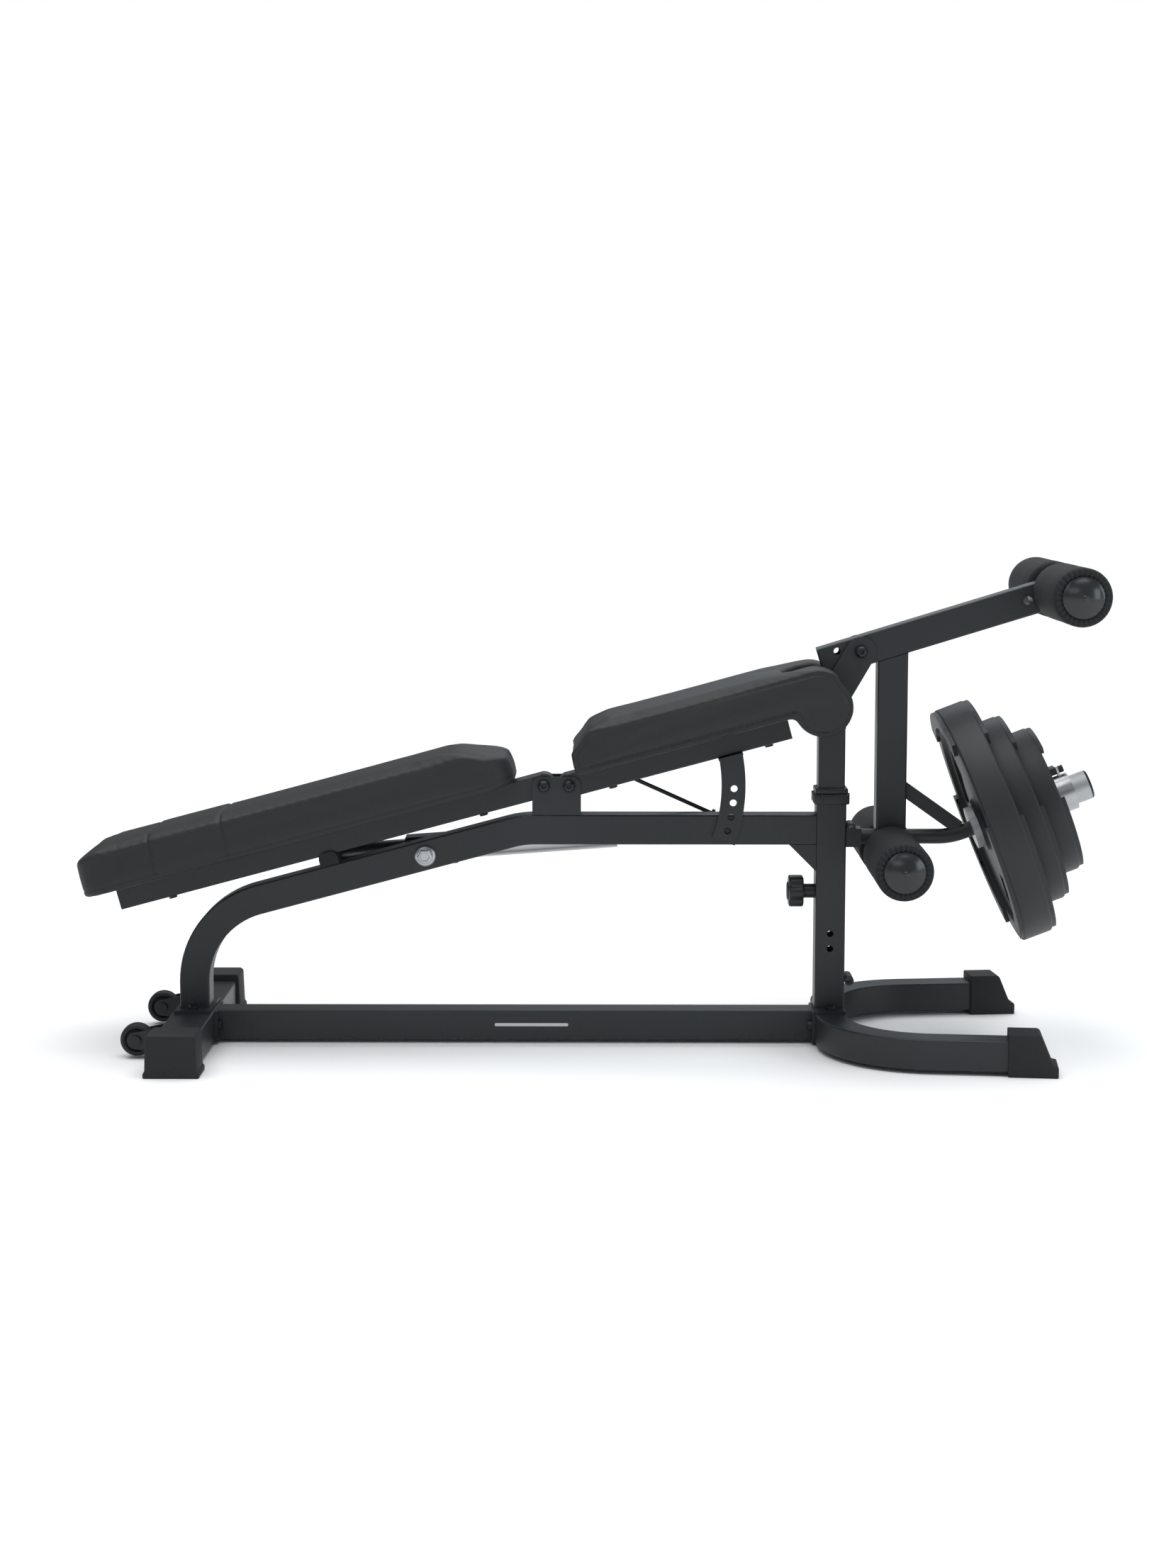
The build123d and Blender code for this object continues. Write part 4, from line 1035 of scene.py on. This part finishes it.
class BENCH_OT_stage(bpy.types.Operator):
    """Pale floor, soft light and the camera"""
    bl_idname = "bench.stage"
    bl_label = "Stage"

    def execute(self, context):
        self.floor()
        self.world(context.scene)
        self.lights()
        self.camera(context.scene)
        context.scene.view_settings.view_transform = "Standard"
        return {"FINISHED"}

    def floor(self):
        grid = bmesh.new()
        bmesh.ops.create_grid(grid, x_segments=2, y_segments=2, size=30)
        mesh = mesh_from(grid, "studio floor")
        mesh.materials.append(studio_floor("studio floor"))
        scratch_object("studio_floor", mesh)

    def world(self, scene):
        """White behind the bench, but a dim grey-blue as a source of light."""
        world = bpy.data.worlds.new("studio")
        scene.world = world
        world.use_nodes = True
        tree = world.node_tree
        sky = tree.nodes["Background"]
        sky.inputs["Color"].default_value = (0.93, 0.97, 1, 1)
        sky.inputs["Strength"].default_value = SKY_STRENGTH
        seen = tree.nodes.new("ShaderNodeBackground")
        seen.inputs["Color"].default_value = (1, 1, 1, 1)
        seen.inputs["Strength"].default_value = 1.0
        path = tree.nodes.new("ShaderNodeLightPath")
        mix = tree.nodes.new("ShaderNodeMixShader")
        tree.links.new(path.outputs["Is Camera Ray"], mix.inputs[0])
        tree.links.new(sky.outputs[0], mix.inputs[1])
        tree.links.new(seen.outputs[0], mix.inputs[2])
        tree.links.new(mix.outputs[0], tree.nodes["World Output"].inputs[0])

    def lights(self):
        sun = bpy.data.lights.new("overhead", "SUN")
        sun.energy = SUN_STRENGTH
        sun.angle = math.radians(SUN_SPREAD)
        self.lamp("overhead", sun, (0, 0, 4), (0, 0, 0))
        for name, spot, turn, size, power in SOFTBOXES:
            light = bpy.data.lights.new(name, "AREA")
            light.shape = "RECTANGLE"
            light.size, light.size_y = size
            light.energy = power
            light.color = COOL_WHITE
            self.lamp(name, light, spot, turn)

    def camera(self, scene):
        view = bpy.data.cameras.new("camera")
        view.sensor_width = 36
        view.lens = CAMERA_LENS
        view.clip_end = 100
        camera = bpy.data.objects.new("camera", view)
        camera.location = CAMERA_PLACE
        camera.rotation_euler = (math.radians(90 - CAMERA_DIP), 0, math.radians(CAMERA_TURN))
        scene.collection.objects.link(camera)
        scene.camera = camera

    def lamp(self, name, light, spot, turn):
        lamp = bpy.data.objects.new(name, light)
        lamp.location = spot
        lamp.rotation_euler = [math.radians(value) for value in turn]
        bpy.context.scene.collection.objects.link(lamp)


# ---- the add-on ---------------------------------------------------------------------
def millimetres(name, description, default, low=0.0):
    return FloatProperty(name=name, description=description, default=default, min=low)


class BenchSizes(bpy.types.PropertyGroup):
    """Sizes of the soft parts, in millimetres"""
    voxel: millimetres("Cushion voxel", "Face size of the cushion blanks", 5.0, 3.0)
    crown: millimetres("Crown", "How far the cushions rise in the middle", 3.0)
    seam_depth: millimetres("Seam depth", "Depth of the sewn grooves", 2.4)
    piping_inset: millimetres("Seam inset", "Side seam from the seat's edge", 11.0)
    back_half_width: millimetres("Back half width", "Half of the back's width", 105.0)
    seat_half_width: millimetres("Seat half width", "Half of the seat's width", 120.0)
    slot_half_width: millimetres("Slot half width", "Half of the front slot", 35.0)
    pleats: IntProperty(name="Pleats", description="Folds round the end of a roller", default=30, min=8)


def tone(name, description, default):
    return FloatVectorProperty(name=name, description=description, default=default, subtype="COLOR",
                               size=3, min=0.0, max=1.0)


class BenchColours(bpy.types.PropertyGroup):
    """Colours of the finishes"""
    frame_paint: tone("Frame", "Powder coat of the frame", (0.0150, 0.0180, 0.0198))
    vinyl: tone("Vinyl", "Cover of the cushions", (0.0135, 0.014, 0.0142))
    rubber: tone("Rubber", "Feet and tyres", (0.012, 0.0125, 0.013))
    plastic: tone("Plastic", "Knobs, caps and collar", (0.012, 0.0128, 0.0135))
    foam: tone("Foam", "Rollers", (0.016, 0.0165, 0.017))
    plate: tone("Plates", "Cover of the weight plates", (0.016, 0.017, 0.0185))
    zinc: tone("Zinc", "The strut's bolt and the plates' bushes", (0.5, 0.515, 0.53))
    chrome: tone("Chrome", "Strut, weight sleeve and its collar", (0.56, 0.565, 0.58))


STEPS = (BENCH_OT_cad_finishes, BENCH_OT_back_cushion, BENCH_OT_seat_cushion, BENCH_OT_rollers,
         BENCH_OT_plates, BENCH_OT_wheels, BENCH_OT_knobs, BENCH_OT_feet, BENCH_OT_collar,
         BENCH_OT_labels, BENCH_OT_hardware, BENCH_OT_stage)


class BENCH_PT_panel(bpy.types.Panel):
    """Lists the bench's sizes, colours and pieces"""
    bl_idname = "BENCH_PT_panel"
    bl_label = "Bench"
    bl_space_type = "VIEW_3D"
    bl_region_type = "UI"
    bl_category = "Bench"

    def draw(self, context):
        for group in (context.scene.bench_sizes, context.scene.bench_colours):
            for name in group.__annotations__:
                self.layout.prop(group, name)
        for step in STEPS:
            self.layout.operator(step.bl_idname)


CLASSES = (BenchSizes, BenchColours, *STEPS, BENCH_PT_panel)


def register():
    for item in CLASSES:
        bpy.utils.register_class(item)
    bpy.types.Scene.bench_sizes = PointerProperty(type=BenchSizes)
    bpy.types.Scene.bench_colours = PointerProperty(type=BenchColours)


def unregister():
    del bpy.types.Scene.bench_colours
    del bpy.types.Scene.bench_sizes
    for item in reversed(CLASSES):
        bpy.utils.unregister_class(item)


def main():
    register()
    for step in STEPS:
        group, name = step.bl_idname.split(".")
        getattr(getattr(bpy.ops, group), name)()


if __name__ == "__main__":
    main()
